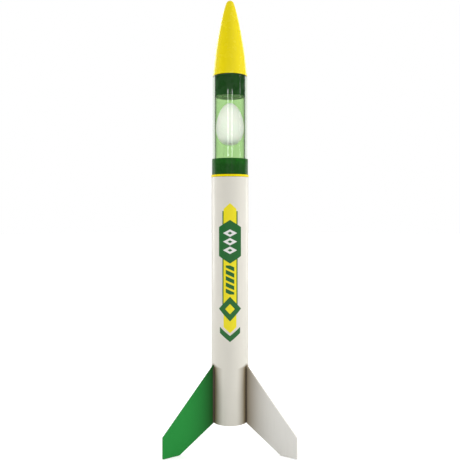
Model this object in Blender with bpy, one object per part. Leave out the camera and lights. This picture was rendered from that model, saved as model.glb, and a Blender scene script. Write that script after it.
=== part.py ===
"""Egg-carrying model rocket, standing on its three fins.

Metres, +Z up. The ground under the fins' feet is Z = 0 and the origin is the middle of the footprint.
Every piece is shaped about its own centreline, and the centreline empty then carries the whole rocket.
Run with: blender --background --python part.py
"""

import math

import bmesh
import bpy
from mathutils import Matrix, Vector

MM = 0.001

# --- Driving dimensions, in millimetres ---------------------------------------------------------

GAP = 0.3  # left between pieces that touch or slide on each other
ROUND_STEPS = 48  # facets of the airframe's round pieces
SMALL_STEPS = 24  # facets of wires, nuts and lugs

TUBE_RADIUS = 25.0  # airframe tube, outside
TUBE_WALL = 0.9
TUBE_LENGTH = 326.2
TAIL_HEIGHT = 32.0  # the tube's lower end above the ground

FIN_SPAN = 73.0  # from the tube's skin to the fin's tip
FIN_THICKNESS = 3.0
FIN_ROOT_LENGTH = 77.2
FIN_TIP_LENGTH = 27.1
FIN_FOOT_LENGTH = 23.3  # the level edge that stands on the ground
FIN_EDGE_ROUND = 0.5
FIN_ANGLES = {"fin_right_white": -30.0, "fin_back_white": 90.0, "fin_left_green": 210.0}

TRIM_HEIGHT = 2.9
TRIM_PROUD = 0.2  # how far the trim ring stands out of the tube's skin

COLLAR_STEP = 0.7  # how far the payload base's collar stands back from the tube's skin
COLLAR_WALL = 0.7  # round the socket for the clear tube
COLLAR_HEIGHT = 21.0
SOCKET_DEPTH = 8.0  # how far the clear tube sits down in the collar
FLOOR_THICKNESS = 2.2
SHOULDER_LENGTH = 33.0
SHOULDER_WALL = 1.3

CLEAR_WALL = 2.6  # of the clear payload tube
CLEAR_LENGTH = 118.7

NOSE_LIP = 0.1  # how far the cone's base stands out of the clear tube's skin
NOSE_LENGTH = 102.6
NOSE_CURVE_LENGTH = 110.0  # length of the curve before its tip is blunted
NOSE_TIP_RADIUS = 5.7
NOSE_WALL = 1.5
NOSE_POINTS = 15
NOSE_SPIGOT = 12.0  # how far the plug goes up inside the cone
PLUG_LENGTH = 27.5  # the plug's shoulder inside the clear tube
PLUG_WALL = 1.4

EGG_CLEARANCE = 1.7  # between the egg and the clear tube
EGG_BLUNT_HEIGHT = 24.5  # from the widest line down to the blunt end
EGG_POINT_HEIGHT = 32.5  # from the widest line up to the pointed end
EGG_LIFT = 18.6  # the egg's blunt end above the collar's rim
EGG_BLUNTNESS = 2.3  # the exponent of its lower half; 2 is an ellipse
EGG_LEANNESS = 0.1  # how much narrower than an ellipse its upper half gets
EGG_POINTS = 9  # on each half of its outline

CRADLE_WALL = 0.9
CRADLE_STEM_RADIUS = 9.0
CRADLE_FOOT = 3.0  # how far a cup's foot stands out of its stem
CRADLE_LIP_RISE = 6.0  # the cradle's lip above the egg's blunt end
RETAINER_STEM_RADIUS = 5.0
RETAINER_LIP_DROP = 3.0  # the retainer's lip below the egg's pointed end
RETAINER_NECK = 2.0  # the retainer's stem above the egg's pointed end, outside
BAY_STEP = 1.0  # how much narrower the collar's cup is than the clear tube's bore
CUSHION_TOP_DROP = 4.5  # the cushion's top below the collar's rim
CUSHION_POCKET_RADIUS = 5.6

SHANK_RADIUS = 1.5
EYE_RADIUS = 4.4
EYE_WIRE_RADIUS = 1.1
EYE_FLANGE_RADIUS = 3.2
EYE_FLANGE_THICKNESS = 0.9
EYE_REACH = 15.1  # the eye's lower edge below the bulkhead
WASHER_RADIUS = 4.6
WASHER_THICKNESS = 0.8
NUT_RADIUS = 3.5  # across corners, halved
NUT_THICKNESS = 2.6

MOTOR_TUBE_BORE = 12.1
MOTOR_TUBE_WALL = 0.45
MOTOR_TUBE_LENGTH = 95.0
MOTOR_TUBE_DROP = 4.0  # its lower end below the airframe tube's
MOTOR_LENGTH = 70.0  # the standard motor that the mount takes
MOTOR_PROUD = 2.6  # how far that motor stands out of its tube
THRUST_RING_BORE = 9.5
THRUST_RING_HEIGHT = 6.3
CENTERING_THICKNESS = 2.4
AFT_RING_INSET = 5.0  # above the airframe tube's lower end
FORWARD_RING_INSET = 9.0  # below the motor tube's upper end

HOOK_WIDTH = 3.0
HOOK_THICKNESS = 0.8
HOOK_REACH = 2.2  # how far its claws pass the bore's wall
HOOK_TAB_LENGTH = 5.4
HOOK_SWING_DEG = 3.0
BAND_HEIGHT = 6.0
BAND_WALL = 0.5
BAND_BELOW_PRONG = 6.0

LUG_BORE = 2.6
LUG_WALL = 0.45
LUG_LENGTH = 30.0
LUG_ANGLE = 45.0
LUG_HEIGHTS = {"launch_lug_lower": 120.0, "launch_lug_upper": 285.0}

ANCHOR_THICKNESS = 1.6
ANCHOR_HEIGHT = 18.0
ANCHOR_BOTTOM = 262.0
ANCHOR_HALF_ANGLE = 22.5

CANOPY_CLEARANCE = 5.5  # between the rolled canopy and the tube
CANOPY_HEIGHT = 76.0
CANOPY_BOTTOM = 206.0
LINES_HEIGHT = 22.0
LINES_THICKNESS = 1.9

CORD_DIAMETER = 2.4
COIL_RADIUS = 14.4  # to the middle of its turns
COIL_TURNS = 7
COIL_BOTTOM = 286.0
KNOT_RADIUS = 2.7
KNOT_HEIGHT = 5.4
LEAD_STEPS = 3  # points read from each stretch of a cord's route

# The shock cord's free stretches, as points that the cord passes: across, back and up.
ANCHOR_LEAD = [(0.0, 22.2, 280.4), (-0.7, 22.1, 282.8), (-3.8, 21.2, 284.9), (-8.6, 18.9, 286.1),
               (-13.8, 13.6, 286.8), (-16.8, 6.0, 287.1), (-17.2, -2.2, 287.3)]
EYE_LEAD = [(12.6, 4.4, 307.8), (10.2, 6.6, 308.6), (6.6, 6.6, 310.6), (3.2, 4.6, 314.6), (1.1, 2.2, 320.4),
            (0.2, 0.6, 327.6), (0.0, 0.0, 335.0), (0.0, 0.0, 338.4)]

# --- Sizes that follow from them ----------------------------------------------------------------

TUBE_BORE = TUBE_RADIUS - TUBE_WALL
TUBE_TOP = TAIL_HEIGHT + TUBE_LENGTH
TRIM_BOTTOM = TUBE_TOP + GAP
COLLAR_RADIUS = TUBE_RADIUS - COLLAR_STEP
COLLAR_BOTTOM = TRIM_BOTTOM + TRIM_HEIGHT + GAP
COLLAR_TOP = COLLAR_BOTTOM + COLLAR_HEIGHT
SOCKET_FLOOR = COLLAR_TOP - SOCKET_DEPTH
SOCKET_RADIUS = COLLAR_RADIUS - COLLAR_WALL
CLEAR_RADIUS = SOCKET_RADIUS - GAP
CLEAR_BORE = CLEAR_RADIUS - CLEAR_WALL
CLEAR_BOTTOM = SOCKET_FLOOR + GAP
CLEAR_TOP = CLEAR_BOTTOM + CLEAR_LENGTH
SHOULDER_RADIUS = TUBE_BORE - GAP
BAY_FLOOR = COLLAR_BOTTOM
BAY_RADIUS = CLEAR_BORE - BAY_STEP
NOSE_RADIUS = CLEAR_RADIUS + NOSE_LIP
NOSE_BOTTOM = CLEAR_TOP + GAP
PLUG_RADIUS = CLEAR_BORE - GAP
PLUG_BOTTOM = NOSE_BOTTOM - PLUG_LENGTH
SPIGOT_RADIUS = NOSE_RADIUS - NOSE_WALL - GAP
EGG_RADIUS = CLEAR_BORE - EGG_CLEARANCE
EGG_BOTTOM = COLLAR_TOP + EGG_LIFT
EGG_WIDEST = EGG_BOTTOM + EGG_BLUNT_HEIGHT
EGG_TOP = EGG_WIDEST + EGG_POINT_HEIGHT
CUSHION_TOP = COLLAR_TOP - CUSHION_TOP_DROP
EYE_HEIGHT = BAY_FLOOR - FLOOR_THICKNESS - EYE_REACH + EYE_WIRE_RADIUS + EYE_RADIUS
CANOPY_RADIUS = TUBE_BORE - CANOPY_CLEARANCE
MOTOR_TUBE_RADIUS = MOTOR_TUBE_BORE + MOTOR_TUBE_WALL
MOTOR_TUBE_BOTTOM = TAIL_HEIGHT - MOTOR_TUBE_DROP
MOTOR_TUBE_TOP = MOTOR_TUBE_BOTTOM + MOTOR_TUBE_LENGTH
CLAW_TOP = MOTOR_TUBE_BOTTOM - MOTOR_PROUD - GAP
PRONG_BOTTOM = MOTOR_TUBE_BOTTOM - MOTOR_PROUD + MOTOR_LENGTH + GAP
PRONG_TOP = PRONG_BOTTOM + HOOK_THICKNESS
HOOK_INSIDE = MOTOR_TUBE_RADIUS + GAP
HOOK_OUTSIDE = HOOK_INSIDE + HOOK_THICKNESS
HOOK_PIVOT_HEIGHT = (PRONG_BOTTOM + PRONG_TOP) / 2
FIN_ROOT_RADIUS = TUBE_RADIUS + GAP
FIN_TIP_RADIUS = TUBE_RADIUS + FIN_SPAN + GAP
FIN_ROOT_TOP = TAIL_HEIGHT + GAP + FIN_ROOT_LENGTH
# Two fins lean forward and one points back, so the footprint's middle is behind the centreline.
FRONT_REACH = math.sin(math.radians(30)) * FIN_TIP_RADIUS + math.cos(math.radians(30)) * FIN_THICKNESS / 2
CENTRELINE_Y = -(FIN_TIP_RADIUS - FRONT_REACH) / 2

# --- Materials: colour, roughness, metallic, alpha ----------------------------------------------

FINISHES = {
    "yellow_plastic": ((0.93, 0.76, 0.01), 0.28, 0.0, 1.0),
    "green_plastic": ((0.02, 0.13, 0.03), 0.3, 0.0, 1.0),
    "clear_plastic": ((0.62, 0.86, 0.5), 0.08, 0.0, 0.3),
    "clear_cradle": ((0.8, 0.92, 0.75), 0.15, 0.0, 0.3),
    "eggshell": ((0.9, 0.9, 0.84), 0.45, 0.0, 1.0),
    "foam": ((0.75, 0.76, 0.72), 0.95, 0.0, 1.0),
    "steel": ((0.6, 0.6, 0.6), 0.35, 1.0, 1.0),
    "white_tube": ((0.78, 0.76, 0.7), 0.35, 0.0, 1.0),
    "green_fin": ((0.03, 0.28, 0.07), 0.45, 0.0, 1.0),
    "white_fin": ((0.72, 0.69, 0.62), 0.5, 0.0, 1.0),
    "kraft_card": ((0.45, 0.3, 0.17), 0.8, 0.0, 1.0),
    "fibre_card": ((0.1, 0.16, 0.12), 0.85, 0.0, 1.0),
    "folded_paper": ((0.8, 0.78, 0.72), 0.9, 0.0, 1.0),
    "canopy_film": ((0.85, 0.2, 0.04), 0.4, 0.0, 1.0),
    "white_line": ((0.8, 0.8, 0.78), 0.8, 0.0, 1.0),
    "elastic_cord": ((0.75, 0.74, 0.7), 0.85, 0.0, 1.0),
}


def material(name):
    """The finish of that name as a Principled material, made once."""
    made = bpy.data.materials.get(name)
    if made:
        return made
    colour, roughness, metallic, alpha = FINISHES[name]
    made = bpy.data.materials.new(name)
    made.use_nodes = True
    shader = made.node_tree.nodes["Principled BSDF"]
    shader.inputs["Base Color"].default_value = (*colour, 1.0)
    shader.inputs["Roughness"].default_value = roughness
    shader.inputs["Metallic"].default_value = metallic
    shader.inputs["Alpha"].default_value = alpha
    return made


# --- Shaping tools ------------------------------------------------------------------------------


def add_object(name, data, finish, parent):
    """Links a named object with its material under its parent."""
    obj = bpy.data.objects.new(name, data)
    bpy.context.scene.collection.objects.link(obj)
    if finish:
        data.materials.append(material(finish))
    obj.parent = parent
    return obj


def finished_mesh(name, shape):
    """Closes a bmesh into a mesh whose round faces shade smooth."""
    bmesh.ops.remove_doubles(shape, verts=shape.verts, dist=1e-6)
    bmesh.ops.recalc_face_normals(shape, faces=shape.faces)
    mesh = bpy.data.meshes.new(name)
    shape.to_mesh(mesh)
    shape.free()
    mesh.shade_smooth()
    mesh.set_sharp_from_angle(angle=math.radians(35))
    return mesh


def turned(name, outline, finish, parent, steps=ROUND_STEPS, arc=360.0, start=0.0):
    """A solid turned about the centreline from an outline of (radius, height) points.

    A whole turn is closed on itself. A shorter arc is capped at both ends and starts at the given angle."""
    shape = bmesh.new()
    turn = Matrix.Rotation(math.radians(start), 3, "Z")
    corners = [shape.verts.new(turn @ Vector((r * MM, 0, z * MM))) for r, z in outline]
    on_axis = [r == 0 for r, _ in outline]
    edges = []
    for i in range(len(corners)):
        if not (on_axis[i - 1] and on_axis[i]):
            edges.append(shape.edges.new((corners[i - 1], corners[i])))
    geometry = corners + edges
    if arc < 360.0:
        geometry.append(shape.faces.new(corners))
    bmesh.ops.spin(shape, geom=geometry, cent=(0, 0, 0), axis=(0, 0, 1), angle=math.radians(arc), steps=steps,
                   use_merge=arc == 360.0)
    if arc < 360.0:
        bmesh.ops.contextual_create(shape, geom=[e for e in shape.edges if e.is_boundary])
    return add_object(name, finished_mesh(name, shape), finish, parent)


def ring(name, inner, outer, bottom, top, finish, parent, steps=ROUND_STEPS):
    """A plain tube or washer."""
    outline = [(outer, top), (outer, bottom), (inner, bottom), (inner, top)]
    return turned(name, outline, finish, parent, steps)


def extruded(name, loops, depth, finish, parent, place=None):
    """A plate between two parallel outlines: an outer loop, and an inner one where it has a hole."""
    shape = bmesh.new()
    edges = []
    for loop in loops:
        corners = [shape.verts.new((x * MM, y * MM, -depth * MM / 2)) for x, y in loop]
        edges += [shape.edges.new((corners[i - 1], corners[i])) for i in range(len(corners))]
    if len(loops) == 1:
        faces = bmesh.ops.contextual_create(shape, geom=edges)["faces"]
    else:
        faces = bmesh.ops.bridge_loops(shape, edges=edges)["faces"]
    lifted = bmesh.ops.extrude_face_region(shape, geom=faces, use_keep_orig=True)["geom"]
    moved = [v for v in lifted if isinstance(v, bmesh.types.BMVert)]
    bmesh.ops.translate(shape, verts=moved, vec=(0, 0, depth * MM))
    if place:
        shape.transform(place)
    return add_object(name, finished_mesh(name, shape), finish, parent)


def cutter(name, size, middle, parent):
    """A box that only cuts: it is never part of the rocket."""
    shape = bmesh.new()
    bmesh.ops.create_cube(shape, size=1.0)
    bmesh.ops.scale(shape, verts=shape.verts, vec=[s * MM for s in size])
    bmesh.ops.translate(shape, verts=shape.verts, vec=[m * MM for m in middle])
    obj = add_object(name, finished_mesh(name, shape), None, parent)
    obj.hide_render = True
    obj.display_type = "WIRE"
    return obj


def cut(obj, tool):
    """Takes the tool's shape out of the object."""
    boolean = obj.modifiers.new("cut_" + tool.name, "BOOLEAN")
    boolean.operation = "DIFFERENCE"
    boolean.solver = "EXACT"
    boolean.object = tool


def joined(obj, added):
    """Joins a second solid, kept out of sight, to the object."""
    added.hide_render = True
    added.display_type = "WIRE"
    boolean = obj.modifiers.new("join_" + added.name, "BOOLEAN")
    boolean.operation = "UNION"
    boolean.solver = "EXACT"
    boolean.object = added


def radial_frame(angle):
    """Turns an outline drawn as (radius, height) so that it stands on the centreline at that angle."""
    return Matrix.Rotation(math.radians(angle), 4, "Z") @ Matrix.Rotation(math.radians(90), 4, "X")


# --- Nose ---------------------------------------------------------------------------------------


def nose_radius_at(distance, inset=0.0):
    """The cone's radius at a distance below its tip, from a Haack curve with a round tip."""
    along = distance + NOSE_CURVE_LENGTH - NOSE_LENGTH
    theta = math.acos(max(-1.0, 1.0 - 2.0 * along / NOSE_CURVE_LENGTH))
    curve = NOSE_RADIUS * math.sqrt((theta - math.sin(2 * theta) / 2) / math.pi)
    if distance < NOSE_TIP_RADIUS:
        curve = min(curve, math.sqrt(NOSE_TIP_RADIUS ** 2 - (NOSE_TIP_RADIUS - distance) ** 2))
    return max(curve - inset, 0.0)


def nose_cone(parent):
    """The hollow cone, open at its base for the plug's spigot."""
    outline = []
    for i in range(NOSE_POINTS + 1):
        distance = NOSE_LENGTH * (i / NOSE_POINTS) ** 1.6
        outline.append((nose_radius_at(distance), NOSE_BOTTOM + NOSE_LENGTH - distance))
    spigot_top = NOSE_BOTTOM + NOSE_SPIGOT + GAP
    bore = NOSE_RADIUS - NOSE_WALL
    outline += [(bore, NOSE_BOTTOM), (bore, spigot_top)]
    inner_points = NOSE_POINTS // 2
    first = NOSE_LENGTH - NOSE_SPIGOT - GAP
    last = NOSE_TIP_RADIUS * 2
    for i in range(inner_points + 1):
        distance = first + (last - first) * i / inner_points
        radius = min(nose_radius_at(distance, 2 * NOSE_WALL), bore - NOSE_WALL / 2)
        outline.append((radius, NOSE_BOTTOM + NOSE_LENGTH - distance))
    outline.append((0.0, NOSE_BOTTOM + NOSE_LENGTH - last))
    return turned("nose_cone", outline, "yellow_plastic", parent)


def nose_plug(parent):
    """The cup under the cone: a spigot glued in the cone and a shoulder that slides in the clear tube."""
    spigot_top = NOSE_BOTTOM + NOSE_SPIGOT
    outline = [
        (SPIGOT_RADIUS, spigot_top),
        (SPIGOT_RADIUS, NOSE_BOTTOM),
        (PLUG_RADIUS, NOSE_BOTTOM),
        (PLUG_RADIUS, PLUG_BOTTOM),
        (0.0, PLUG_BOTTOM),
        (0.0, PLUG_BOTTOM + PLUG_WALL),
        (PLUG_RADIUS - PLUG_WALL, PLUG_BOTTOM + PLUG_WALL),
        (PLUG_RADIUS - PLUG_WALL, NOSE_BOTTOM + PLUG_WALL),
        (SPIGOT_RADIUS - PLUG_WALL, NOSE_BOTTOM + PLUG_WALL + SPIGOT_RADIUS - PLUG_RADIUS),
        (SPIGOT_RADIUS - PLUG_WALL, spigot_top),
    ]
    return turned("nose_plug", outline, "green_plastic", parent)


# --- Payload ------------------------------------------------------------------------------------


def egg_radius_at(height):
    """The egg's radius at a height: fuller below its widest line and leaner above it."""
    if height < EGG_WIDEST:
        share = (EGG_WIDEST - height) / EGG_BLUNT_HEIGHT
        return EGG_RADIUS * max(0.0, 1 - share ** EGG_BLUNTNESS) ** (1 / EGG_BLUNTNESS)
    share = min(1.0, (height - EGG_WIDEST) / EGG_POINT_HEIGHT)
    return EGG_RADIUS * math.sqrt(1 - share ** 2) * (1 - EGG_LEANNESS * share)


def egg(parent):
    """The hen's egg that the rocket carries, blunt end down."""
    outline = []
    for i in range(EGG_POINTS * 2 + 1):
        turn = math.pi * i / (EGG_POINTS * 2)
        reach = EGG_POINT_HEIGHT if turn < math.pi / 2 else EGG_BLUNT_HEIGHT
        height = EGG_WIDEST + reach * math.cos(turn)
        outline.append((0.0 if i in (0, EGG_POINTS * 2) else egg_radius_at(height), height))
    return turned("egg", outline, "eggshell", parent)


def cradle_outline(foot, foot_height, lip_height, side):
    """A thin cup's outline: a straight stem from its foot, then a lip that follows the egg with a gap.

    side is 1 where the cup opens upwards and -1 where it opens downwards."""
    inner = []
    steps = 4
    start = EGG_BOTTOM if side > 0 else EGG_TOP
    for i in range(1, steps + 1):
        height = start + (lip_height - start) * i / steps
        inner.append((egg_radius_at(height) + 2 * GAP, height - side * GAP))
    inner = [(r, z) for r, z in inner if r > CRADLE_STEM_RADIUS]
    outer = [(r + CRADLE_WALL, z - side * CRADLE_WALL / 2) for r, z in reversed(inner)]
    neck = inner[0][1] - side * 2.2 * CRADLE_WALL
    stem = CRADLE_STEM_RADIUS - CRADLE_WALL
    outline = [(stem, neck)] + inner + outer
    foot_top = foot_height + side * CRADLE_WALL
    outline += [(CRADLE_STEM_RADIUS, neck - side * CRADLE_WALL), (CRADLE_STEM_RADIUS, foot_top)]
    outline += [(foot, foot_top), (foot, foot_height), (stem, foot_height)]
    return outline


def egg_cradle(parent):
    """The clear cup that the egg stands in, on the cushion."""
    foot = CRADLE_STEM_RADIUS + CRADLE_FOOT
    outline = cradle_outline(foot, CUSHION_TOP + GAP, EGG_BOTTOM + CRADLE_LIP_RISE, 1)
    return turned("egg_cradle", outline, "clear_cradle", parent)


def egg_retainer(parent):
    """The clear cup under the nose plug that keeps the egg from jumping."""
    stem = RETAINER_STEM_RADIUS
    foot = PLUG_BOTTOM - GAP
    drop = EGG_TOP - RETAINER_LIP_DROP
    lip = egg_radius_at(drop) + 2 * GAP
    outline = [
        (lip, drop),
        (lip + CRADLE_WALL, drop),
        (stem + CRADLE_WALL, EGG_TOP + RETAINER_NECK),
        (stem + CRADLE_WALL, foot - CRADLE_WALL),
        (stem + CRADLE_FOOT, foot - CRADLE_WALL),
        (stem + CRADLE_FOOT, foot),
        (stem, foot),
        (stem, EGG_TOP + RETAINER_NECK - 2 * GAP),
    ]
    return turned("egg_retainer", outline, "clear_cradle", parent)


def payload_base(parent):
    """The collar that holds the clear tube, its bulkhead, and the shoulder that plugs into the airframe."""
    shank_hole = SHANK_RADIUS + GAP
    shoulder_bore = SHOULDER_RADIUS - SHOULDER_WALL
    underside = BAY_FLOOR - FLOOR_THICKNESS
    outline = [
        (COLLAR_RADIUS, COLLAR_TOP),
        (COLLAR_RADIUS, COLLAR_BOTTOM),
        (SHOULDER_RADIUS, COLLAR_BOTTOM),
        (SHOULDER_RADIUS, COLLAR_BOTTOM - SHOULDER_LENGTH),
        (shoulder_bore, COLLAR_BOTTOM - SHOULDER_LENGTH),
        (shoulder_bore, underside),
        (shank_hole, underside),
        (shank_hole, BAY_FLOOR),
        (BAY_RADIUS, BAY_FLOOR),
        (BAY_RADIUS, SOCKET_FLOOR),
        (SOCKET_RADIUS, SOCKET_FLOOR),
        (SOCKET_RADIUS, COLLAR_TOP),
    ]
    return turned("payload_base", outline, "green_plastic", parent)


def foam_cushion(parent):
    """The foam disc on the bulkhead, with a pocket under it for the nut."""
    pocket_top = BAY_FLOOR + 3 * GAP + WASHER_THICKNESS + NUT_THICKNESS + 1.0
    outline = [
        (BAY_RADIUS - GAP, CUSHION_TOP),
        (BAY_RADIUS - GAP, BAY_FLOOR + GAP),
        (CUSHION_POCKET_RADIUS, BAY_FLOOR + GAP),
        (CUSHION_POCKET_RADIUS, pocket_top),
        (0.0, pocket_top),
        (0.0, CUSHION_TOP),
    ]
    return turned("foam_cushion", outline, "foam", parent)


def screw_eye(parent):
    """A wire eye on a shank that passes up through the bulkhead."""
    underside = BAY_FLOOR - FLOOR_THICKNESS
    shank_top = BAY_FLOOR + 2 * GAP + WASHER_THICKNESS + NUT_THICKNESS + 0.8
    flange_top = underside - GAP
    eye_top = EYE_HEIGHT + EYE_RADIUS
    outline = [
        (0.0, shank_top),
        (SHANK_RADIUS, shank_top),
        (SHANK_RADIUS, flange_top),
        (EYE_FLANGE_RADIUS, flange_top),
        (EYE_FLANGE_RADIUS, flange_top - EYE_FLANGE_THICKNESS),
        (SHANK_RADIUS, flange_top - EYE_FLANGE_THICKNESS),
        (SHANK_RADIUS, eye_top),
        (0.0, eye_top),
    ]
    shank = turned("screw_eye", outline, "steel", parent, SMALL_STEPS)
    shape = bmesh.new()
    wire = bmesh.ops.create_circle(shape, segments=SMALL_STEPS // 2, radius=EYE_WIRE_RADIUS * MM)["verts"]
    bmesh.ops.rotate(shape, verts=wire, matrix=Matrix.Rotation(math.radians(90), 3, "X"))
    bmesh.ops.translate(shape, verts=wire, vec=(EYE_RADIUS * MM, 0, 0))
    bmesh.ops.spin(shape, geom=list(shape.verts) + list(shape.edges), cent=(0, 0, 0), axis=(0, 0, 1),
                   angle=math.tau, steps=SMALL_STEPS, use_merge=True)
    bmesh.ops.rotate(shape, verts=shape.verts, matrix=Matrix.Rotation(math.radians(90), 3, "X"))
    bmesh.ops.translate(shape, verts=shape.verts, vec=(0, 0, EYE_HEIGHT * MM))
    loop = add_object("eye_loop_shape", finished_mesh("eye_loop_shape", shape), None, parent)
    joined(shank, loop)
    return shank


def eye_washer(parent):
    """The washer under the nut."""
    bottom = BAY_FLOOR + GAP
    top = bottom + WASHER_THICKNESS
    return ring("eye_washer", SHANK_RADIUS + GAP, WASHER_RADIUS, bottom, top, "steel", parent, SMALL_STEPS)


def eye_nut(parent):
    """The hexagon nut on the eye's shank."""
    outer = circle(NUT_RADIUS, 6)
    inner = circle(SHANK_RADIUS + GAP, 6)
    middle = BAY_FLOOR + 2 * GAP + WASHER_THICKNESS + NUT_THICKNESS / 2
    place = Matrix.Translation((0, 0, middle * MM))
    return extruded("eye_nut", [outer, inner], NUT_THICKNESS, "steel", parent, place)


def circle(radius, count):
    """Points round a circle."""
    angles = [math.tau * i / count for i in range(count)]
    return [(radius * math.cos(angle), radius * math.sin(angle)) for angle in angles]


# --- Airframe -----------------------------------------------------------------------------------


def fin(name, parent):
    """One flat fin with a swept leading edge and a level foot."""
    outline = [
        (FIN_ROOT_RADIUS, FIN_ROOT_TOP),
        (FIN_ROOT_RADIUS, TAIL_HEIGHT + GAP),
        (FIN_TIP_RADIUS - FIN_FOOT_LENGTH, 0.0),
        (FIN_TIP_RADIUS, 0.0),
        (FIN_TIP_RADIUS, FIN_TIP_LENGTH),
    ]
    finish = "green_fin" if name.endswith("green") else "white_fin"
    upright = Matrix.Rotation(math.radians(90), 4, "X")
    blade = extruded(name, [outline], FIN_THICKNESS, finish, parent, upright)
    blade.rotation_euler.z = math.radians(FIN_ANGLES[name])
    edges = blade.modifiers.new("soft_edges", "BEVEL")
    edges.width = FIN_EDGE_ROUND * MM
    edges.segments = 2
    edges.limit_method = "ANGLE"
    edges.angle_limit = math.radians(30)
    return blade


def launch_lug(name, parent):
    """A short straw beside the tube that the launch rod passes through."""
    lug = ring(name, LUG_BORE, LUG_BORE + LUG_WALL, 0.0, LUG_LENGTH, "white_tube", parent, SMALL_STEPS)
    reach = TUBE_RADIUS + GAP + LUG_BORE + LUG_WALL
    angle = math.radians(LUG_ANGLE)
    lug.location = (reach * math.cos(angle) * MM, reach * math.sin(angle) * MM, LUG_HEIGHTS[name] * MM)
    return lug


def motor_tube(parent):
    """The tube that the motor slides into, with a slot for the hook's prong."""
    tube = ring("motor_tube", MOTOR_TUBE_BORE, MOTOR_TUBE_RADIUS, MOTOR_TUBE_BOTTOM, MOTOR_TUBE_TOP,
                "kraft_card", parent)
    clear = 0.5
    slot = cutter("prong_slot", (HOOK_WIDTH + 2 * clear, 4.0, HOOK_THICKNESS + 2 * clear),
                  (0.0, MOTOR_TUBE_RADIUS, HOOK_PIVOT_HEIGHT), parent)
    cut(tube, slot)
    return tube


def centering_ring(name, bottom, parent):
    """A card ring between the motor tube and the airframe tube."""
    top = bottom + CENTERING_THICKNESS
    return ring(name, MOTOR_TUBE_RADIUS + GAP, TUBE_BORE - GAP, bottom, top, "fibre_card", parent)


def centering_ring_aft(parent):
    """The lower ring, notched so that the hook can swing out."""
    bottom = TAIL_HEIGHT + AFT_RING_INSET
    plate = centering_ring("centering_ring_aft", bottom, parent)
    swing = math.sin(math.radians(HOOK_SWING_DEG)) * (HOOK_PIVOT_HEIGHT - bottom)
    depth = HOOK_OUTSIDE + swing + 2 * GAP - MOTOR_TUBE_BORE
    notch = cutter("hook_notch", (HOOK_WIDTH + 4 * GAP, depth, 3 * CENTERING_THICKNESS),
                   (0.0, MOTOR_TUBE_BORE + depth / 2, bottom + CENTERING_THICKNESS / 2), parent)
    cut(plate, notch)
    return plate


def motor_hook(parent):
    """The sprung steel strip: a prong at its top, a claw under the motor and a finger tab."""
    tip = MOTOR_TUBE_BORE - HOOK_REACH
    claw_bottom = CLAW_TOP - HOOK_THICKNESS
    outline = [
        (tip, PRONG_TOP),
        (HOOK_OUTSIDE, PRONG_TOP),
        (HOOK_OUTSIDE, claw_bottom),
        (tip + HOOK_THICKNESS, claw_bottom),
        (tip + HOOK_THICKNESS + 1.2, claw_bottom - HOOK_TAB_LENGTH),
        (tip + 1.2, claw_bottom - HOOK_TAB_LENGTH),
        (tip, CLAW_TOP),
        (HOOK_INSIDE, CLAW_TOP),
        (HOOK_INSIDE, PRONG_BOTTOM),
        (tip, PRONG_BOTTOM),
    ]
    pivot = Vector((0, (HOOK_INSIDE + HOOK_OUTSIDE) / 2 * MM, HOOK_PIVOT_HEIGHT * MM))
    place = Matrix.Translation(-pivot) @ radial_frame(90)
    hook = extruded("motor_hook", [outline], HOOK_WIDTH, "steel", parent, place)
    hook.location = pivot
    return hook


def hook_band(parent):
    """The paper band round the motor tube that bulges over the hook."""
    count = 72
    bottom = PRONG_BOTTOM - BAND_BELOW_PRONG - BAND_HEIGHT
    swing = math.sin(math.radians(HOOK_SWING_DEG)) * (HOOK_PIVOT_HEIGHT - bottom)
    # The bulge also covers the corners of the flat strip, which stand further out than its middle.
    bulge = math.hypot(HOOK_OUTSIDE + swing + GAP, HOOK_WIDTH / 2) - MOTOR_TUBE_RADIUS - GAP
    flat, fade = 15.0, 40.0
    loops = []
    for wall in (BAND_WALL, 0.0):
        loop = []
        for i in range(count):
            away = abs((360.0 * i / count - 90.0 + 180.0) % 360.0 - 180.0)
            share = min(1.0, max(0.0, (fade - away) / (fade - flat)))
            radius = MOTOR_TUBE_RADIUS + GAP + wall + bulge * share * share * (3 - 2 * share)
            angle = math.tau * i / count
            loop.append((radius * math.cos(angle), radius * math.sin(angle)))
        loops.append(loop)
    place = Matrix.Translation((0, 0, (bottom + BAND_HEIGHT / 2) * MM))
    return extruded("hook_band", loops, BAND_HEIGHT, "folded_paper", parent, place)


def cord_anchor(parent):
    """The folded paper pad glued inside the tube, which grips the shock cord's end."""
    outer = TUBE_BORE - GAP
    inner = outer - ANCHOR_THICKNESS
    top = ANCHOR_BOTTOM + ANCHOR_HEIGHT
    outline = [(outer, top), (outer, ANCHOR_BOTTOM), (inner, ANCHOR_BOTTOM), (inner, top)]
    start = 90 - ANCHOR_HALF_ANGLE
    return turned("cord_anchor", outline, "folded_paper", parent, 8, 2 * ANCHOR_HALF_ANGLE, start)


# --- Recovery gear ------------------------------------------------------------------------------


def parachute_canopy(parent):
    """The canopy rolled into a bundle with soft ends."""
    top = CANOPY_BOTTOM + CANOPY_HEIGHT
    soft = 3.0
    outline = [(0.0, top), (CANOPY_RADIUS - soft, top), (CANOPY_RADIUS, top - soft)]
    outline += [(CANOPY_RADIUS, CANOPY_BOTTOM + soft), (CANOPY_RADIUS - soft, CANOPY_BOTTOM)]
    outline += [(0.0, CANOPY_BOTTOM)]
    return turned("parachute_canopy", outline, "canopy_film", parent)


def shroud_lines(parent):
    """The canopy's lines, wound round the bundle."""
    inner = CANOPY_RADIUS + GAP
    bottom = CANOPY_BOTTOM + (CANOPY_HEIGHT - LINES_HEIGHT) / 2
    top = bottom + LINES_HEIGHT
    return ring("shroud_lines", inner, inner + LINES_THICKNESS, bottom, top, "white_line", parent)


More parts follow.
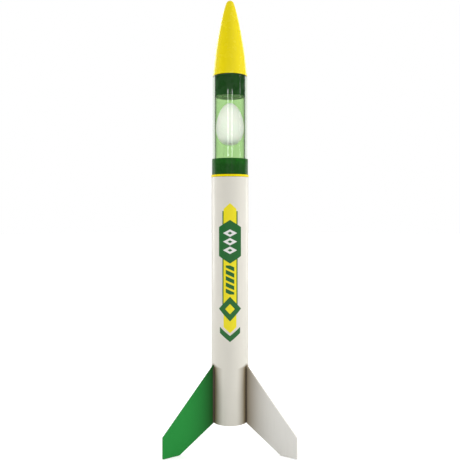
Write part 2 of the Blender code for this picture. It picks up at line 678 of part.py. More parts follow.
def shock_cord_coil(parent):
    """The shock cord's wound middle, a ring that holds all its turns."""
    half = CORD_DIAMETER / 2 + 0.2
    height = (COIL_TURNS + 1) * CORD_DIAMETER + 0.8
    return ring("shock_cord_coil", COIL_RADIUS - half, COIL_RADIUS + half, COIL_BOTTOM, COIL_BOTTOM + height,
                "elastic_cord", parent)


def shock_cord_knot(parent):
    """The knot that ties the shock cord under the screw eye."""
    top = EYE_HEIGHT - EYE_RADIUS - EYE_WIRE_RADIUS - GAP
    soft = KNOT_RADIUS / 3
    outline = [(0.0, top), (KNOT_RADIUS - soft, top), (KNOT_RADIUS, top - soft)]
    outline += [(KNOT_RADIUS, top - KNOT_HEIGHT + soft), (KNOT_RADIUS - soft, top - KNOT_HEIGHT)]
    outline += [(0.0, top - KNOT_HEIGHT)]
    return turned("shock_cord_knot", outline, "elastic_cord", parent, SMALL_STEPS)


def smooth_route(points, steps):
    """Points read along a smooth curve through the route's own points."""
    route = []
    for i in range(len(points) - 1):
        before = Vector(points[max(i - 1, 0)])
        here, there = Vector(points[i]), Vector(points[i + 1])
        after = Vector(points[min(i + 2, len(points) - 1)])
        for k in range(steps):
            t = k / steps
            square = 2 * before - 5 * here + 4 * there - after
            cube = 3 * here - before - 3 * there + after
            route.append(0.5 * (2 * here + (there - before) * t + square * t * t + cube * t ** 3))
    return route + [Vector(points[-1])]


def shock_cord_lead(name, points, parent):
    """A free stretch of the shock cord as a plain tube."""
    curve = bpy.data.curves.new(name, "CURVE")
    curve.dimensions = "3D"
    curve.bevel_depth = CORD_DIAMETER / 2 * MM
    curve.bevel_resolution = 2
    curve.use_fill_caps = True
    route = smooth_route(points, LEAD_STEPS)
    spline = curve.splines.new("POLY")
    spline.points.add(len(route) - 1)
    for point, place in zip(spline.points, route):
        point.co = (*(place * MM), 1.0)
    return add_object(name, curve, "elastic_cord", parent)


# --- The rocket ---------------------------------------------------------------------------------


def clear_scene():
    """Starts from an empty scene."""
    for obj in list(bpy.data.objects):
        bpy.data.objects.remove(obj)


def build():
    """Makes every piece under the centreline."""
    clear_scene()
    centreline = bpy.data.objects.new("centreline", None)
    bpy.context.scene.collection.objects.link(centreline)
    centreline.location = (0, CENTRELINE_Y * MM, 0)

    nose_cone(centreline)
    nose_plug(centreline)
    egg_retainer(centreline)
    ring("payload_tube", CLEAR_BORE, CLEAR_RADIUS, CLEAR_BOTTOM, CLEAR_TOP, "clear_plastic", centreline)
    egg(centreline)
    egg_cradle(centreline)
    foam_cushion(centreline)
    payload_base(centreline)
    screw_eye(centreline)
    eye_washer(centreline)
    eye_nut(centreline)

    ring("body_tube", TUBE_BORE, TUBE_RADIUS, TAIL_HEIGHT, TUBE_TOP, "white_tube", centreline)
    ring("trim_ring", TUBE_BORE, TUBE_RADIUS + TRIM_PROUD, TRIM_BOTTOM, TRIM_BOTTOM + TRIM_HEIGHT,
         "yellow_plastic", centreline)
    for name in FIN_ANGLES:
        fin(name, centreline)
    for name in LUG_HEIGHTS:
        launch_lug(name, centreline)

    motor_tube(centreline)
    ring("thrust_ring", THRUST_RING_BORE, MOTOR_TUBE_BORE - GAP, PRONG_TOP + GAP,
         PRONG_TOP + GAP + THRUST_RING_HEIGHT, "kraft_card", centreline)
    centering_ring_aft(centreline)
    centering_ring("centering_ring_forward", MOTOR_TUBE_TOP - FORWARD_RING_INSET, centreline)
    motor_hook(centreline)
    hook_band(centreline)

    cord_anchor(centreline)
    parachute_canopy(centreline)
    shroud_lines(centreline)
    shock_cord_coil(centreline)
    shock_cord_knot(centreline)
    shock_cord_lead("shock_cord_to_anchor", ANCHOR_LEAD, centreline)
    shock_cord_lead("shock_cord_to_eye", EYE_LEAD, centreline)


build()
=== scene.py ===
"""Finished looks of the egg-carrying model rocket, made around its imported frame.

The frame is in metres, +Z up. Shapes are drawn in millimetres about the rocket's centreline,
and piece() carries them into the frame."""

import math

import bmesh
import bpy
from bpy.props import FloatProperty, FloatVectorProperty, IntProperty, PointerProperty
from bpy.types import Operator, Panel, PropertyGroup
from mathutils import Matrix, Vector, noise


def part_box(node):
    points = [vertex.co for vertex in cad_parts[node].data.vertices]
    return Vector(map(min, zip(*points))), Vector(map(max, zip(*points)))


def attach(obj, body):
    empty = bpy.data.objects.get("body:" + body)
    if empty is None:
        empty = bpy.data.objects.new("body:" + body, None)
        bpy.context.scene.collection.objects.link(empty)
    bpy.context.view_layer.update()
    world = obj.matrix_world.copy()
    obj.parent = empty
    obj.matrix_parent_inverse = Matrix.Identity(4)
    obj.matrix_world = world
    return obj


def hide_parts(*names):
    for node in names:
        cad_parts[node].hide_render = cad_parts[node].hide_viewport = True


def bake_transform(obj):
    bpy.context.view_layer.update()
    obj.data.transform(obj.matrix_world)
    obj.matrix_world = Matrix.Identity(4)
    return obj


bl_info = {
    "name": "Egg rocket",
    "version": (1, 0, 0),
    "blender": (4, 5, 0),
    "location": "3D View > Sidebar > Rocket",
    "description": "Makes the finished pieces of an egg-carrying model rocket",
    "category": "Object",
}

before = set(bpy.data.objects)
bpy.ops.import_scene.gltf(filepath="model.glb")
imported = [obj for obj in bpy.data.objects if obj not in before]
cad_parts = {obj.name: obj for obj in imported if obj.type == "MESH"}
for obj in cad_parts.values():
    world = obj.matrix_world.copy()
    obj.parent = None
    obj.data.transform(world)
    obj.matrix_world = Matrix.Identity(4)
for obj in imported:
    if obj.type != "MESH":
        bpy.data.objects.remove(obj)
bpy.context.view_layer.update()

# --- Places read from the frame, in millimetres -------------------------------------------------

MM = 0.001
GAP = 0.3  # left between pieces that touch or slide on each other
ACROSS, BACK = Vector((1.0, 0.0, 0.0)), Vector((0.0, 1.0, 0.0))


def low(node):
    """A node's lowest height."""
    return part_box(node)[0].z / MM


def high(node):
    """A node's highest height."""
    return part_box(node)[1].z / MM


def reach(node):
    """A turned node's outer radius."""
    lowest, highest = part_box(node)
    return (highest.x - lowest.x) / 2 / MM


CENTRE_Y = sum(corner.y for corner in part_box("body_tube")) / 2
TO_FRAME = Matrix.Translation((0, CENTRE_Y, 0)) @ Matrix.Scale(MM, 4)
TUBE_RADIUS = reach("body_tube")
CLEAR_RADIUS = reach("payload_tube")
COLLAR_BOTTOM = high("trim_ring") + GAP
COLLAR_TOP = high("payload_base")
SOCKET_FLOOR = low("payload_tube") - GAP
NOSE_BOTTOM = low("nose_cone")
NOSE_TOP = high("nose_cone")
EGG_WIDEST_SHARE = 24.5 / 57.0  # of the egg's height, from its blunt end
EGG_FULLNESS = 2.3  # 2 would make its blunt end a plain ellipse
EGG_LEANNESS = 0.1  # the share of its width that the pointed end lacks

# The shock cord's free stretches, as points that the cord passes: across, back and up.
ANCHOR_LEAD = [(0.0, 22.2, 280.4), (-0.7, 22.1, 282.8), (-3.8, 21.2, 284.9), (-8.6, 18.9, 286.1),
               (-13.8, 13.6, 286.8), (-16.8, 6.0, 287.1), (-17.2, -2.2, 287.3)]
EYE_LEAD = [(12.6, 4.4, 307.8), (10.2, 6.6, 308.6), (6.6, 6.6, 310.6), (3.2, 4.6, 314.6), (1.1, 2.2, 320.4),
            (0.2, 0.6, 327.6), (0.0, 0.0, 335.0), (0.0, 0.0, 338.4)]


# --- What a user would change -------------------------------------------------------------------


def length(name, description, millimetres):
    """A length that a user can set."""
    return FloatProperty(name=name, description=description, default=millimetres * MM, min=0.0, precision=5,
                         unit="LENGTH")


def colour(name, description, value):
    """A colour that a user can set."""
    return FloatVectorProperty(name=name, description=description, default=value, size=3, min=0.0, max=1.0,
                               subtype="COLOR")


def number(name, description, value):
    """A whole number that a user can set."""
    return IntProperty(name=name, description=description, default=value)


class RocketSizes(PropertyGroup):
    """Sizes that the frame's boxes don't give."""

    tube_wall: length("Tube wall", "Wall of the paper body tube", 0.9)
    clear_wall: length("Clear wall", "Wall of the clear payload tube", 2.6)
    nose_wall: length("Nose wall", "Wall of the nose cone", 1.0)
    nose_curve: length("Nose curve", "Length of the nose's curve before its tip is blunted", 110.0)
    nose_blunting: length("Nose blunting", "How far down the tip its rounding fades", 1.2)
    plug_wall: length("Plug wall", "Wall of the nose plug", 1.4)
    spigot_height: length("Spigot height", "How far the plug goes up inside the cone", 12.0)
    bulkhead: length("Bulkhead", "Thickness of the payload base's bulkhead", 2.2)
    shoulder_wall: length("Shoulder wall", "Wall of the payload base's shoulder", 1.3)
    moulded_edge: length("Moulded edge", "Rounding of the moulded pieces' edges", 0.35)
    fin_tip: length("Fin tip", "Length of a fin's upright tip edge", 27.1)
    fin_foot: length("Fin foot", "Length of the level edge that a fin stands on", 23.3)
    fin_edge: length("Fin edge", "Rounding of a fin's edges", 0.9)
    fillet: length("Glue fillet", "Radius of the glue fillets along the fins' roots", 2.2)
    cord_diameter: length("Shock cord", "Diameter of the shock cord", 2.4)
    coil_radius: length("Coil radius", "Radius of the shock cord's coil to the middle of its turns", 14.4)
    line_diameter: length("Shroud line", "Diameter of the parachute's lines", 0.8)
    line_turns: number("Line turns", "Turns of the shroud lines round the canopy", 25)
    film_pitch: length("Film pitch", "From one layer of the rolled canopy to the next", 0.5)
    canopy_width: length("Canopy width", "Width of the open six-sided canopy", 457.0)
    rib_count: number("Ribs", "Gussets under the payload base's bulkhead", 6)


class RocketColours(PropertyGroup):
    """Colours of the materials."""

    yellow: colour("Yellow", "Moulded yellow plastic", (1.0, 0.81, 0.0))
    moulded_green: colour("Moulded green", "Moulded green plastic", (0.014, 0.09, 0.012))
    fin_green: colour("Fin green", "The green fin", (0.02, 0.31, 0.05))
    fin_white: colour("Fin white", "The white fins", (0.93, 0.91, 0.86))
    paper: colour("Tube paper", "The white body tube", (0.83, 0.80, 0.71))
    print_green: colour("Printed green", "Green of the printed decoration", (0.004, 0.15, 0.02))
    print_yellow: colour("Printed yellow", "Yellow of the printed decoration", (1.0, 0.86, 0.0))
    clear_front: colour("Clear front", "Tint of the clear tube's front wall", (0.93, 0.97, 0.92))
    clear_back: colour("Clear back", "Tint of the clear tube's back wall", (0.50, 0.79, 0.34))
    # The glue's near-black brown is partly painted shade, darkening the fins' roots as their shadow would.
    glue: colour("Glue", "The brown glue along the fins' roots", (0.085, 0.065, 0.04))
    shell: colour("Eggshell", "The egg", (0.87, 0.86, 0.82))
    film: colour("Canopy film", "The parachute's plastic film", (0.85, 0.2, 0.04))
    cord: colour("Shock cord", "The braided elastic cord", (0.78, 0.77, 0.72))


# --- Node trees ---------------------------------------------------------------------------------


class Nodes:
    """Short ways to add and link nodes in one tree."""

    def __init__(self, tree):
        self.tree = tree

    def put(self, socket, value):
        """Links a socket into an input, or sets the input's own value."""
        if isinstance(value, bpy.types.NodeSocket):
            self.tree.links.new(value, socket)
        else:
            socket.default_value = value

    def add(self, kind, inputs=None, **settings):
        """Adds a node with its settings and inputs."""
        node = self.tree.nodes.new(kind)
        for name, value in settings.items():
            setattr(node, name, value)
        for key, value in (inputs or {}).items():
            self.put(node.inputs[key], value)
        return node

    def math(self, operation, *values):
        """One step of arithmetic on up to three values."""
        node = self.add("ShaderNodeMath", operation=operation)
        for socket, value in zip(node.inputs, values):
            self.put(socket, value)
        return node.outputs[0]

    def plus(self, one, two):
        """Their sum."""
        return self.math("ADD", one, two)

    def minus(self, one, two):
        """The first less the second."""
        return self.math("SUBTRACT", one, two)

    def times(self, one, two):
        """Their product."""
        return self.math("MULTIPLY", one, two)

    def over(self, one, two):
        """The first divided by the second."""
        return self.math("DIVIDE", one, two)

    def unsigned(self, value):
        """A value without its sign."""
        return self.math("ABSOLUTE", value)

    def ranged(self, value, low_in, high_in, low_out=0.0, high_out=1.0, **settings):
        """A value carried from one range to another."""
        names = ("Value", "From Min", "From Max", "To Min", "To Max")
        inputs = dict(zip(names, (value, low_in, high_in, low_out, high_out)))
        return self.add("ShaderNodeMapRange", inputs, **settings).outputs[0]

    def between(self, share, first, second):
        """A value between two values."""
        return self.add("ShaderNodeMix", {0: share, 2: first, 3: second}, data_type="FLOAT").outputs[0]


def seen_directly(nodes):
    """1 where the camera sees a place itself or through clear pieces, and 0 elsewhere."""
    rays = nodes.add("ShaderNodeLightPath").outputs
    mirrored = nodes.minus(rays["Ray Depth"], rays["Transmission Depth"])
    through = nodes.times(rays["Is Transmission Ray"], nodes.math("LESS_THAN", mirrored, 1.5))
    return nodes.math("MAXIMUM", rays["Is Camera Ray"], through)


class Finish(Nodes):
    """A Principled material whose patterns are drawn in millimetres about the centreline."""

    def __init__(self, name, roughness, **values):
        self.material = bpy.data.materials.new(name)
        self.material.use_nodes = True
        super().__init__(self.material.node_tree)
        self.shader = self.tree.nodes["Principled BSDF"]
        self.shader.inputs["Roughness"].default_value = roughness
        for key, value in values.items():
            self.shader.inputs[key.replace("_", " ")].default_value = value
        place = self.add("ShaderNodeTexCoord")
        self.place = self.add("ShaderNodeMapping", {
            "Vector": place.outputs["Object"], "Location": (0, -CENTRE_Y / MM, 0),
            "Scale": (1 / MM,) * 3}).outputs[0]
        self.along = place.outputs["UV"]
        self.heights = []

    def noise(self, size, detail=3.0, stretch=(1, 1, 1), **inputs):
        """Noise whose lumps are about size millimetres across."""
        place = self.add("ShaderNodeMapping", {"Vector": self.place, "Scale": stretch}).outputs[0]
        values = {"Vector": place, "Scale": 1 / size, "Detail": detail, **inputs}
        return self.add("ShaderNodeTexNoise", values).outputs["Fac"]

    def mix(self, share, first, second):
        """A colour between two colours."""
        node = self.add("ShaderNodeMix", data_type="RGBA", clamp_factor=True)
        for socket, value in zip((node.inputs[0], node.inputs[6], node.inputs[7]), (share, first, second)):
            plain = not isinstance(value, (float, bpy.types.NodeSocket)) and len(value) == 3
            self.put(socket, (*value, 1.0) if plain else value)
        return node.outputs[2]

    def paint(self, colour_socket):
        """Sets the base colour."""
        self.put(self.shader.inputs["Base Color"], colour_socket)

    def mottle(self, pattern, value, darker, lighter):
        """Lets the base colour wander with a pattern, from a darker share of a colour to a lighter one."""
        self.paint(self.mix(pattern, shade(value, darker), shade(value, lighter)))

    def vary_roughness(self, value, least, most):
        """Lets the roughness wander with a pattern."""
        self.put(self.shader.inputs["Roughness"], self.ranged(value, 0.3, 0.7, least, most))

    def raise_by(self, height, depth):
        """Adds a relief, depth millimetres deep."""
        inputs = {"Height": height, "Distance": depth * MM, "Strength": 1.0}
        if self.heights:
            inputs["Normal"] = self.heights[-1]
        self.heights.append(self.add("ShaderNodeBump", inputs).outputs[0])
        self.put(self.shader.inputs["Normal"], self.heights[-1])

    def groove(self, value, pitch, width, depth):
        """Adds narrow grooves, one for every two pitches of a value."""
        self.raise_by(self.ranged(self.math("PINGPONG", value, pitch), 0.0, width), depth)

    def axes(self):
        """Across, back and up, in millimetres."""
        return self.add("ShaderNodeSeparateXYZ", {"Vector": self.place}).outputs[:3]

    def off_centreline(self):
        """Distance from the centreline, in millimetres."""
        across, back, _ = self.axes()
        return self.math("SQRT", self.plus(self.times(across, across), self.times(back, back)))

    def winding(self, radius, lean):
        """A height that climbs round the skin, as a spiral strip does."""
        return self.plus(self.axes()[2], self.times(self.round_front(radius), lean))

    def round_front(self, radius):
        """Distance round the skin from the front line, in millimetres."""
        across, back, _ = self.axes()
        return self.times(self.math("ARCTAN2", across, self.times(back, -1.0)), radius)


def shade(value, share):
    """A colour made darker or lighter."""
    return tuple(min(1.0, part * share) for part in value)


def moulded_finish(name, value, roughness, seam=True, glow=0.0, specular=0.12):
    """Injection-moulded plastic: a faint cloudiness, orange peel and a glow inside, with a parting line at
    both sides where asked."""
    finish = Finish(name, roughness, Specular_IOR_Level=specular, Subsurface_Weight=glow,
                    Subsurface_Scale=0.007, Subsurface_Radius=(0.35, 1.0, 0.25))
    finish.mottle(finish.noise(9.0, 4.0), value, 0.97, 1.02)
    finish.vary_roughness(finish.noise(9.0), roughness - 0.02, roughness + 0.03)
    finish.raise_by(finish.noise(0.9, 2.0), 0.0003)
    if seam:
        finish.raise_by(finish.ranged(finish.unsigned(finish.axes()[1]), 0.0, 0.22, 1.0, 0.0), 0.05)
    return finish


def clear_finish(name, front, back, ior, edge_depth):
    """Clear plastic that lets the lamps' light through, with a faintly rubbed skin.

    Its tint deepens from the front to the back, and where its inner skin is seen edge on."""
    finish = Finish(name, 0.01, Transmission_Weight=1.0, IOR=ior)
    tint = finish.mix(finish.ranged(finish.axes()[1], -9.0, 9.0), front, back)
    tint = finish.mix(finish.ranged(finish.noise(14.0, 2.0), 0.0, 1.0, 0.0, 0.06), tint, shade(back, 0.6))
    inside = finish.math("LESS_THAN", finish.off_centreline(), CLEAR_RADIUS - 1.3)
    edge_on = finish.add("ShaderNodeLayerWeight", {"Blend": 0.5}).outputs["Facing"]
    depth_share = finish.times(finish.ranged(edge_on, 0.4, 0.66, 0.0, edge_depth), inside)
    finish.paint(finish.mix(depth_share, tint, shade(back, 0.06)))
    finish.vary_roughness(finish.noise(3.0, 4.0, (1, 1, 0.1)), 0.012, 0.03)
    path = finish.add("ShaderNodeLightPath")
    lighter = finish.add("ShaderNodeGamma", {"Color": tint, "Gamma": 0.5}).outputs[0]
    through = finish.add("ShaderNodeBsdfTransparent", {"Color": lighter}).outputs[0]
    both = finish.add("ShaderNodeMixShader", {
        0: path.outputs["Is Shadow Ray"], 1: finish.shader.outputs[0], 2: through})
    finish.put(finish.tree.nodes["Material Output"].inputs["Surface"], both.outputs[0])
    return finish


def shell_finish(colours):
    """Eggshell: fine pores, a chalky skin and a little light inside it."""
    finish = Finish("eggshell", 0.42, Subsurface_Weight=0.12, Subsurface_Scale=0.004, Coat_Weight=0.35,
                    Coat_Roughness=0.3)
    finish.mottle(finish.noise(6.0, 5.0), colours.shell, 0.965, 1.03)
    pores = finish.add("ShaderNodeTexVoronoi", {"Vector": finish.place, "Scale": 1.5})
    finish.raise_by(finish.ranged(pores.outputs["Distance"], 0.0, 0.18), 0.02)
    finish.raise_by(finish.noise(0.5, 3.0), 0.02)
    return finish


def repeated(finish, value, start, pitch):
    """Distance from the nearest of evenly repeated places."""
    turns = finish.plus(finish.over(finish.minus(value, start), pitch), 0.5)
    share = finish.minus(finish.math("FRACT", turns), 0.5)
    return finish.times(finish.unsigned(share), pitch)


BLOCK_MIDDLE, BARS_MIDDLE, DIAMOND_MIDDLE, CHEVRON_MIDDLE = 273.0, 223.0, 185.0, 146.0  # heights
PRINT_WHITE = (0.9, 0.9, 0.87)
INK_EDGE = 0.12  # half of the soft edge round the ink


def decoration(finish, colours, paper):
    """The tube's printed decoration: a pointed band with a block, bars, a diamond and a chevron."""
    up = finish.axes()[2]
    round_skin = finish.round_front(TUBE_RADIUS)
    side = finish.unsigned(round_skin)

    def off(height):
        return finish.unsigned(finish.minus(up, height))

    def inside(start, distance, other=0.0, lean=0.0):
        """How far inside an edge a place is: start less the distance, less the other's leaning share."""
        return finish.minus(finish.minus(start, distance), finish.times(other, lean))

    def within(*distances):
        nearest = distances[0]
        for distance in distances[1:]:
            nearest = finish.math("MINIMUM", nearest, distance)
        return finish.ranged(nearest, -INK_EDGE, INK_EDGE)

    green, yellow = colours.print_green, colours.print_yellow
    step = repeated(finish, up, BLOCK_MIDDLE, 11.2)
    slant = finish.plus(up, finish.times(round_skin, 0.45))
    bars = repeated(finish, slant, BARS_MIDDLE, 8.2)
    arrow = finish.unsigned(finish.minus(finish.minus(up, finish.times(side, 0.8)), CHEVRON_MIDDLE))
    block_end = inside(17.5, off(BLOCK_MIDDLE))
    layers = [
        (green, within(inside(10.2, side), inside(66.0, off(247.0)))),
        (yellow, within(inside(8.6, side), inside(85.0, off(238.5), side, 0.9))),
        (green, within(inside(15.4, side), inside(28.5, off(BLOCK_MIDDLE), side, 0.62))),
        (PRINT_WHITE, within(inside(4.9, step, side, 0.52), block_end)),
        (green, within(inside(1.9, step, side, 0.6), block_end)),
        (green, within(inside(5.6, side), inside(19.0, off(BARS_MIDDLE)), inside(2.7, bars))),
        (green, within(inside(15.4, side, off(DIAMOND_MIDDLE), 0.95))),
        (yellow, within(inside(6.4, side, off(DIAMOND_MIDDLE), 0.95))),
        (green, within(inside(14.0, side), inside(4.0, arrow))),
    ]
    painted = paper
    for ink, mask in layers:
        painted = finish.mix(mask, painted, ink)
    return painted


def paper_finish(name, colours, printed):
    """Glossy white paper wound in a spiral, printed, with painted shade beside the fins' roots where asked.
    """
    finish = Finish(name, 0.36, Coat_Weight=0.2, Coat_Roughness=0.12)
    paper = finish.mix(finish.noise(18.0, 3.0), shade(colours.paper, 0.975), shade(colours.paper, 1.02))
    if printed:
        paper = decoration(finish, colours, paper)
        third = math.tau * TUBE_RADIUS / 3
        off_fin = repeated(finish, finish.round_front(TUBE_RADIUS), third / 2, third)
        above = finish.math("MAXIMUM", finish.minus(finish.axes()[2], high("fin_back_white") - 3.0), 0.0)
        # Painted shade: the paper darkens beside each fin's root, where the corner's shadow falls.
        paper = painted_root_shade(finish, paper, finish.plus(off_fin, finish.times(above, 3.0)), 4.0, 17.0, 1.2)
    finish.paint(paper)
    finish.groove(finish.winding(TUBE_RADIUS, 0.62), 48.7, 0.5, 0.035)
    finish.raise_by(finish.noise(0.8, 4.0), 0.008)
    finish.vary_roughness(finish.noise(5.0), 0.32, 0.42)
    return finish


ROOT_SHADE_SHARE = (0.30, 0.24, 0.15)  # the share of the paint's colour that the painted shade at the fins' roots leaves


def painted_root_shade(finish, paint, distance, start, end, power):
    """Paint darkened by painted shade: a brown darkening that stands for the shadow in the fins' root corners
    and fades between two distances from the root, in millimetres.
    """
    fade = finish.math("POWER", finish.ranged(distance, start, end, 1.0, 0.0), power)
    dark = finish.add("ShaderNodeMix", {0: 1.0, 6: paint, 7: (*ROOT_SHADE_SHARE, 1.0)}, data_type="RGBA",
                      blend_type="MULTIPLY")
    return finish.mix(fade, paint, dark.outputs[2])


def fin_finish(name, value):
    """Painted balsa: a faint grain along the fin, a soft satin skin and painted shade along its root, darkest
    there and fading out towards the tip.
    """
    finish = Finish(name, 0.5, Specular_IOR_Level=0.2)
    grain = finish.noise(1.1, 4.0, (1.0, 1.0, 0.05))
    off_tube = finish.minus(finish.off_centreline(), TUBE_RADIUS)
    paint = finish.mix(grain, shade(value, 0.965), shade(value, 1.035))
    # Painted shade: the paint darkens towards the fin's root, where the tube shades it.
    finish.paint(painted_root_shade(finish, paint, off_tube, 0.5, 70.0, 3.3))
    finish.raise_by(grain, 0.02)
    finish.vary_roughness(finish.noise(4.0), 0.44, 0.56)
    return finish


def glue_with_painted_shade_finish(colours):
    """Brown wood glue, smoothed by a fingertip; its near-black colour is partly painted shade for the dark
    corners at the fins' roots.
    """
    finish = Finish("brown_glue", 0.45, Specular_IOR_Level=0.25)
    finish.mottle(finish.noise(3.0, 4.0), colours.glue, 0.8, 1.25)
    finish.raise_by(finish.noise(1.6, 3.0, (1, 1, 0.15)), 0.06)
    return finish


def steel_finish():
    """Bright drawn steel with fine lines along it."""
    finish = Finish("bright_steel", 0.3, Metallic=1.0)
    lines = finish.noise(0.4, 3.0, (1, 1, 0.06))
    finish.paint(finish.mix(lines, (0.46, 0.46, 0.47), (0.66, 0.66, 0.65)))
    finish.vary_roughness(lines, 0.22, 0.4)
    finish.raise_by(lines, 0.006)
    return finish


def card_finish(name, value, spiral):
    """Card with fibres in it, wound in a spiral where asked."""
    finish = Finish(name, 0.86)
    fibres = finish.noise(0.8, 5.0, (1, 1, 0.35))
    finish.mottle(fibres, value, 0.78, 1.18)
    finish.raise_by(fibres, 0.06)
    if spiral:
        finish.groove(finish.winding(reach("motor_tube"), 0.7), 12.0, 0.35, 0.08)
    return finish


def folded_finish():
    """Soft white paper, folded and glued, with creases across it."""
    finish = Finish("folded_paper", 0.9)
    finish.paint(finish.mix(finish.noise(2.5, 5.0), (0.7, 0.68, 0.61), (0.84, 0.82, 0.76)))
    finish.groove(finish.axes()[2], 3.0, 0.3, 0.12)
    finish.raise_by(finish.noise(0.6, 4.0), 0.03)
    return finish


def film_finish(colours):
    """Thin plastic film with creases that catch the light."""
    finish = Finish("canopy_film", 0.35, Coat_Weight=0.3)
    creases = finish.noise(4.0, 5.0, (1, 1, 0.4), Distortion=1.2)
    finish.mottle(creases, colours.film, 0.8, 1.1)
    finish.raise_by(creases, 0.5)
    return finish


def braid_finish(name, value, strands, pitch):
    """Braided cord: strands that cross each other along it, with a woolly skin."""
    finish = Finish(name, 0.88, Sheen_Weight=0.25)
    round_cord, along_cord, _ = finish.add("ShaderNodeSeparateXYZ", {"Vector": finish.along}).outputs[:3]
    along_turns = finish.over(along_cord, pitch)
    ridges = []
    for direction in (1.0, -1.0):
        turn = finish.math("MULTIPLY_ADD", round_cord, strands * direction, along_turns)
        ridges.append(finish.unsigned(finish.math("SINE", finish.times(turn, math.pi))))
    weave = finish.math("MAXIMUM", *ridges)
    finish.mottle(weave, value, 0.55, 1.06)
    finish.raise_by(weave, 0.16)
    finish.raise_by(finish.noise(0.25, 3.0), 0.05)
    return finish


def foam_finish():
    """Open-cell foam."""
    finish = Finish("foam", 0.95, Sheen_Weight=0.2)
    cells = finish.add("ShaderNodeTexVoronoi", {"Vector": finish.place, "Scale": 1.3}).outputs["Distance"]
    finish.paint(finish.mix(cells, (0.34, 0.35, 0.33), (0.72, 0.73, 0.69)))
    finish.raise_by(cells, 0.35)
    return finish


FINISH_MAKERS = {
    "yellow_moulding": lambda c: moulded_finish("yellow_moulding", c.yellow, 0.26, specular=0.5),
    "yellow_trim": lambda c: moulded_finish("yellow_trim", c.yellow, 0.34, seam=False),
    "green_moulding": lambda c: moulded_finish("green_moulding", c.moulded_green, 0.27, glow=0.3),
    "clear_tube": lambda c: clear_finish("clear_tube", c.clear_front, c.clear_back, 1.46, 0.96),
    "clear_cup": lambda c: clear_finish("clear_cup", (0.99, 1.0, 0.99), (0.985, 0.995, 0.98), 1.01, 0.0),
    "eggshell": shell_finish,
    "printed_paper": lambda c: paper_finish("printed_paper", c, True),
    "plain_paper": lambda c: paper_finish("plain_paper", c, False),
    "green_fin": lambda c: fin_finish("green_fin", c.fin_green),
    "white_fin": lambda c: fin_finish("white_fin", c.fin_white),
    "glue": glue_with_painted_shade_finish,
    "steel": lambda c: steel_finish(),
    "kraft_card": lambda c: card_finish("kraft_card", (0.42, 0.28, 0.155), True),
    "fibre_card": lambda c: card_finish("fibre_card", (0.07, 0.12, 0.085), False),
    "folded_paper": lambda c: folded_finish(),
    "film": film_finish,
    "shock_braid": lambda c: braid_finish("shock_braid", c.cord, 8.0, 2.6),
    "line_braid": lambda c: braid_finish("line_braid", (0.82, 0.82, 0.8), 3.0, 1.3),
    "foam": lambda c: foam_finish(),
}


MADE_FINISHES = {}


def finish_named(name):
    """The material of that finish, made once."""
    if name not in MADE_FINISHES:
        MADE_FINISHES[name] = FINISH_MAKERS[name](bpy.context.scene.rocket_colours).material
    return MADE_FINISHES[name]


# --- Shaping ------------------------------------------------------------------------------------


def rounded(outline, radius, steps=4):
    """Rounds the corners of a closed outline of (radius, height) points that lie off the centreline."""
    result = []
    count = len(outline)
    for i in range(count):
        here = Vector(outline[i])
        to_before, to_after = Vector(outline[i - 1]) - here, Vector(outline[(i + 1) % count]) - here
        turn = to_before.angle(to_after)
        if here.x < 1e-6 or turn > math.radians(165):
            result.append(here)
            continue
        trim = min(radius, 0.4 * to_before.length, 0.4 * to_after.length)
        before, after = to_before.normalized(), to_after.normalized()
        result.append(here + before * min(trim * 1.5, 0.45 * to_before.length))
        for k in range(steps + 1):
            t = k / steps
            result.append(here + before * trim * (1 - t) ** 2 + after * trim * t * t)
        result.append(here + after * min(trim * 1.5, 0.45 * to_after.length))
    return result


def turned(outline, steps=128, centre=(0.0, 0.0)):
    """Turns a closed outline of (radius, height) points about the centreline or another upright axis."""
    shape = bmesh.new()
    columns = []
    for i in range(steps):
        angle = math.tau * i / steps
        column = []
        for j, (radius, height) in enumerate(outline):
            if radius < 1e-6 and i:
                column.append(columns[0][j])
            else:
                column.append(shape.verts.new((centre[0] + radius * math.cos(angle),
                                               centre[1] + radius * math.sin(angle), height)))
        columns.append(column)
    for i in range(steps):
        one, two = columns[i], columns[(i + 1) % steps]
        for j in range(len(outline)):
            k = (j + 1) % len(outline)
            corners = []
            for vertex in (one[j], one[k], two[k], two[j]):
                if vertex not in corners:
                    corners.append(vertex)
            if len(corners) > 2:
                shape.faces.new(corners)
    return shape


def ring_of(shape, centre, across, up, radius, sides):
    """A circle of new points about a centre, in the plane of two directions."""
    turns = [math.tau * k / sides for k in range(sides)]
    return [shape.verts.new(centre + (across * math.cos(a) + up * math.sin(a)) * radius) for a in turns]


def skin(shape, rings, ends=True):
    """Faces that join each ring of points to the next one, and close the two ends where asked."""
    faces = []
    for one, two in zip(rings, rings[1:]):
        for i in range(len(one)):
            k = (i + 1) % len(one)
            faces.append(shape.faces.new((one[i], one[k], two[k], two[i])))
    if ends:
        shape.faces.new(reversed(rings[0]))
        shape.faces.new(rings[-1])
    return faces


def ring_outline(inner, outer, bottom, top):
    """A tube's outline."""
    return [(outer, top), (outer, bottom), (inner, bottom), (inner, top)]


def smooth_route(points, steps):
    """Points read along a smooth curve through the route's own points."""
    route = []
    for i in range(len(points) - 1):
        before = Vector(points[max(i - 1, 0)])
        here, there = Vector(points[i]), Vector(points[i + 1])
        after = Vector(points[min(i + 2, len(points) - 1)])
        for k in range(steps):
            t = k / steps
            square = (2 * before - 5 * here + 4 * there - after) * t * t
            cube = (3 * here - before - 3 * there + after) * t ** 3
            route.append(0.5 * (2 * here + (there - before) * t + square + cube))
    return route + [Vector(points[-1])]


